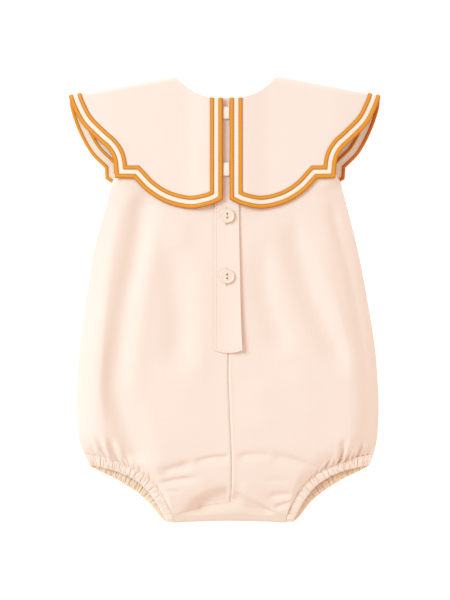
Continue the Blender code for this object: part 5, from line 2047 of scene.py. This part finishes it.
@dataclass
class Collar:
    """The two back flaps and the front collar, with the border of piping, tape and cord round them."""

    outline: Outline
    heights: Heights
    stitching: Stitching
    palette: Palette
    cloth_edge: float = 1.6
    stitch_from_edge: float = 4.25
    stitch_lift: float = 0.3
    strips: tuple[Strip, ...] = (
        Strip("binding", 0.0, 4.0, -1.5, 1.05, 2.3), Strip("tape", 3.3, 8.2, 0.02, 0.3, 6.0),
        Strip("cord", 7.7, 11.1, 0.02, 1.0, 2.2),
    )
    inside_strips: tuple[Strip, ...] = (
        Strip("binding", 0.0, 3.3, -1.5, 1.05, 2.3), Strip("tape", 2.7, 8.5, 0.02, 0.3, 6.0),
        Strip("cord", 8.0, 10.6, 0.02, 1.0, 2.2),
    )
    # how far the right cap's orange strips are painted towards shade
    inside_depth: float = 0.9
    neck_corner: float = 0.32
    step_corner: float = 0.82
    front_neck_corner: float = 0.28
    front_step_corner: float = 0.09
    ring_spacing: float = 1.1
    spacing_run: float = 6.0   # distance in from the edge at which rings are counted
    around: int = 20
    # how quickly a strip's painted edge shade fades towards its middle
    side_power: float = 2.3
    rim: float = 0.3
    back_cut: Cut = Cut(136.0, 116.0, 11200.0)
    front_cut: Cut = Cut(272.0, 113.0, 21500.0)

    def back_border(self, side: Side, distance: float) -> list[Array]:
        """The back flap's edge runs, moved in.

        Args:
            side: which flap.
            distance: how far they are moved in.

        Returns:
            The opening, the scallop, the step and the cap.
        """
        o = self.outline
        parts = (o.back_opening, o.back_scallop, o.back_step, o.back_cap)
        curves = [o.collar_curve(part, side) for part in parts]
        runs = moved_in(curves, distance, side.value) if distance > 0 else curves
        return runs[:-1] + [o.ended_at_crest(runs[-1])]

    def front_border(self, distance: float) -> list[Array]:
        """The front collar's edge runs, moved in.

        Args:
            distance: how far they are moved in.

        Returns:
            The left cap, step and scallop, and the same mirrored.
        """
        o = self.outline
        parts = (o.front_scallop, o.front_step, o.front_cap)
        right = [o.collar_curve(part, Side.RIGHT) for part in parts]
        left = [o.collar_curve(part, Side.LEFT)[::-1] for part in parts[::-1]]
        runs = moved_in(left + right, distance, 1.0) if distance > 0 else left + right
        return [o.ended_at_crest(runs[0][::-1])[::-1]] + runs[1:-1] + [o.ended_at_crest(runs[-1])]

    def strip(
        self, name: str, border: Callable[[float], list[Array]], part: Strip,
        surface: Callable[[Array, Array, Array], Array], material: Material, turned: bool,
        inside: bool,
    ) -> Piece:
        """One strip that follows the border.

        Its section is a superellipse between its two distances and heights, carried along the two
        rails that the border gives there, and laid on the collar's surface.

        Args:
            name: the piece's name.
            border: gives the edge runs at a distance in from the edge.
            part: the strip's distances and heights.
            surface: places plan points on the collar with a lift.
            material: its finish.
            turned: whether its rings run the other way round.
            inside: whether its right half is deep in the cap, where the strip is darkened as painted shade.

        Returns:
            The piece.
        """
        rails = []
        for distance in (part.start, part.end):
            runs = border(distance)
            counts = [max(4, int(lengths(run)[-1] / self.ring_spacing)) for run in border(self.spacing_run)]
            points = [along(run, self.run_shares(count)) for run, count in zip(runs, counts)]
            rails.append(np.vstack([points[0]] + [run[1:] for run in points[1:]]))
        turn = turns(self.around)
        across = 0.5 - 0.5 * squared(np.cos(turn), part.square)
        over = 0.5 + 0.5 * squared(np.sin(turn), part.square)
        lift = part.low + (part.high - part.low) * over
        plan = rails[0][:, None] + across[None, :, None] * (rails[1] - rails[0])[:, None]
        rings = surface(plan[..., 0], plan[..., 1], lift[None] + 0 * plan[..., 0])
        # painted shade: strongest at the strip's two edges, and over the right cap for inside strips
        sides = np.abs(2 * across - 1) ** self.side_power + 0 * plan[..., 0]
        if inside:
            sides = np.maximum(sides, self.inside_depth * (plan[..., 0] > self.outline.collar_centre))
        if turned:
            rings, sides = rings[:, ::-1], sides[:, ::-1]
        obj = loft(name, rings, material)
        mark_sides(obj, sides)
        return obj

    @staticmethod
    def run_shares(count: int) -> Array:
        """Even shares of a run, closer together at its two ends."""
        return steps([0.004, 0.012], np.linspace(0, 1, count + 1), [0.988, 0.996], least=0.002)

    def flap(self, side: Side) -> Piece:
        """One back flap, from the scallop up to the neckline and over the shoulder fold.

        Args:
            side: which flap.

        Returns:
            The piece.
        """
        o, h = self.outline, self.heights
        opening, scallop, step, cap = self.back_border(side, self.cloth_edge)
        corner = self.neck_corner
        u = steps(np.linspace(0, 1, 96), [corner, self.step_corner], quarter_steps(0.02, 4), least=0.002)
        v = steps(np.linspace(0, 1, 80), 1 - quarter_steps(0.09, 16), quarter_steps(0.02, 4), least=0.0008)
        bottom = joined([scallop, step], u, [self.step_corner])
        neck = o.collar_curve(o.back_neckline, side)
        neck = neck[np.abs(neck[:, 0] - opening[0, 0]).argmin():]
        neck[0] = opening[0]
        shoulder = np.array([neck[-1], cap[-1]])
        top = joined([neck, shoulder], u, [corner])
        plan = patch(bottom, top, along(opening[::-1], v), along(cap, v), u, v)
        x, y = plan[..., 0], plan[..., 1]
        outer, inner = h.on_flap(x, y, 0), h.on_flap(x, y, -h.collar_cloth)
        node = f"collar_back_{side.label}"
        obj = shell(f"{node}_cloth", outer, inner, plan, self.rim, self.palette.collar, int(side.value))
        return dress(obj, Slot.COLLAR, node)

    def front(self) -> Piece:
        """The front collar, face down under the front.

        Returns:
            The piece.
        """
        o, h = self.outline, self.heights
        cap, step, scallop, scallop_right, step_right, cap_right = self.front_border(self.cloth_edge)
        corner, low = self.front_neck_corner, self.front_step_corner
        half = steps(
            np.linspace(0, 0.5, 70), [corner], corner + (0.5 - corner) * quarter_steps(0.09, 6), least=0.001
        )
        u = mirrored(half)
        v = steps(np.linspace(0, 1, 70), [low], 1 - quarter_steps(0.08, 14), least=0.0008)
        bottom = joined([scallop, scallop_right], u, [0.5])
        necks = {side: o.collar_curve(o.front_neckline, side) for side in Side}
        left_neck, right_neck = necks[Side.LEFT], necks[Side.RIGHT]
        shoulders = [np.array([cap[0], left_neck[0]]), np.array([right_neck[0], cap_right[-1]])]
        neckline = np.vstack([left_neck, right_neck[::-1][1:]])
        top = joined([shoulders[0], neckline, shoulders[1]], u, [corner, 1 - corner])
        left = joined([step[::-1], cap[::-1]], v, [low])
        right = joined([step_right, cap_right], v, [low])
        plan = patch(bottom, top, left, right, u, v)
        x, y = plan[..., 0], plan[..., 1]
        outer, inner = h.on_front_collar(x, y, -h.collar_cloth), h.on_front_collar(x, y, 0)
        obj = shell("collar_front_cloth", outer, inner, plan, self.rim, self.palette.collar, -1)
        return dress(obj, Slot.COLLAR, "collar_front")

    def trims(
        self, place: str, border: Callable, surface: Callable, turned: bool, inside: bool = False
    ) -> list[Piece]:
        """The three strips of one border.

        Args:
            place: the end of their node names.
            border: the border's runs by distance.
            surface: the collar's surface.
            turned: whether their rings run the other way round.
            inside: whether they are the front collar's, seen from the inside in the caps, with painted shade
                on the right cap's orange strips.

        Returns:
            The pieces.
        """
        orange = self.palette.inside_piping_painted_shade if inside else self.palette.piping
        made = []
        for part in self.inside_strips if inside else self.strips:
            material, slot = (self.palette.tape, Slot.IVORY) if part.name == "tape" else (orange, Slot.ORANGE)
            node = f"collar_{part.name}_{place}"
            # painted shade over the right cap, for the front's orange strips only
            deep = inside and slot is Slot.ORANGE
            obj = self.strip(f"{node}_trim", border, part, surface, material, turned, deep)
            made.append(dress(obj, slot, node))
        runs = border(self.stitch_from_edge)
        path = np.vstack([runs[0]] + [run[1:] for run in runs[1:]])
        path = along(path, np.linspace(0.004, 0.985, 900))
        line = surface(path[:, 0], path[:, 1], self.stitch_lift)
        self.stitching.row(f"collar_{place}_stitching", line, Slot.IVORY, self.palette.pale_thread)
        return made

    def build(self) -> None:
        """Makes and dresses the flaps, the front collar and their borders."""
        for side in Side:
            flap = self.flap(side)
            trims = self.trims(
                f"back_{side.label}", lambda d, s=side: self.back_border(s, d), self.heights.on_flap,
                side is Side.RIGHT,
            )
            self.back_cut.declare(flap, [f"back_{side.label}", "placket"], trims)
        front = self.front()
        trims = self.trims("front", self.front_border, self.heights.on_front_collar, True, inside=True)
        self.front_cut.declare(front, ["front"], trims)


# ---- studio ----
@dataclass
class Studio:
    """White paper, soft light from the upper left, and a camera straight above."""

    camera_height: float = 1.2400
    camera_place: Pair = (0.0004, -0.0001)
    lens: float = 85.0
    floor_half: float = 1500.0
    floor_height: float = -0.3
    sky: Colour = (0.79, 0.568, 0.48)
    lamps: tuple = (   # name, place, size, power, colour
        ("key_light", (-4.0, 2.5, 3.7), 2.6, 262.0, (0.54, 0.90, 1.08)),
        ("fill_light", (3.6, -2.4, 2.6), 3.0, 48.0, (0.5, 1.0, 1.15)),
    )

    def light(self, name: str, place: Colour, size: float, power: float, colour: Colour) -> None:
        """A square soft light that faces the garment.

        Args:
            name: its name.
            place: where it hangs, in metres.
            size: its side.
            power: in watts.
            colour: its colour.
        """
        lamp = bpy.data.lights.new(name, "AREA")
        lamp.shape, lamp.size, lamp.energy, lamp.color = "SQUARE", size, power, colour
        obj = bpy.data.objects.new(name, lamp)
        obj.location = place
        obj.rotation_euler = (-Vector(place)).to_track_quat("-Z", "Y").to_euler()
        bpy.context.scene.collection.objects.link(obj)

    def build(self) -> None:
        """Lays the paper, hangs the lights and sets the camera."""
        scene = bpy.context.scene
        scene.view_settings.view_transform = "Standard"
        corners = self.floor_half * np.array([(-1, -1), (1, -1), (1, 1), (-1, 1)])
        points = np.column_stack([corners, np.full(4, self.floor_height)])
        floor = put_mesh("paper_floor", points, [[0, 1, 2, 3]], corners * MM, Paper().material())
        world = scene.world or bpy.data.worlds.new("soft_room")
        scene.world = world
        world.use_nodes = True
        background = world.node_tree.nodes["Background"]
        background.inputs["Color"].default_value = (*self.sky, 1)
        background.inputs["Strength"].default_value = 1.0
        for lamp in self.lamps:
            self.light(*lamp)
        camera = bpy.data.cameras.new("camera_above")
        camera.lens = self.lens
        obj = bpy.data.objects.new("camera_above", camera)
        obj.location = (*self.camera_place, self.camera_height)
        scene.collection.objects.link(obj)
        scene.camera = obj


def main() -> None:
    """Builds the garment's parts in order, and then the studio."""
    logging.basicConfig(level=logging.INFO, format="%(name)s %(message)s")
    outline, puckers, palette = Outline(), Puckers(), Palette()
    heights = Heights(outline)
    BodyPanels(outline, heights, puckers, palette).build()
    stitching = Stitching()
    LegCasings(outline, heights, puckers, stitching, palette).build()
    placket = Placket(heights, stitching, palette)
    placket.build()
    Tabs(placket, palette).build()
    Buttons(placket, palette).build()
    Collar(outline, heights, stitching, palette).build()
    Studio().build()


if __name__ == "__main__":
    main()
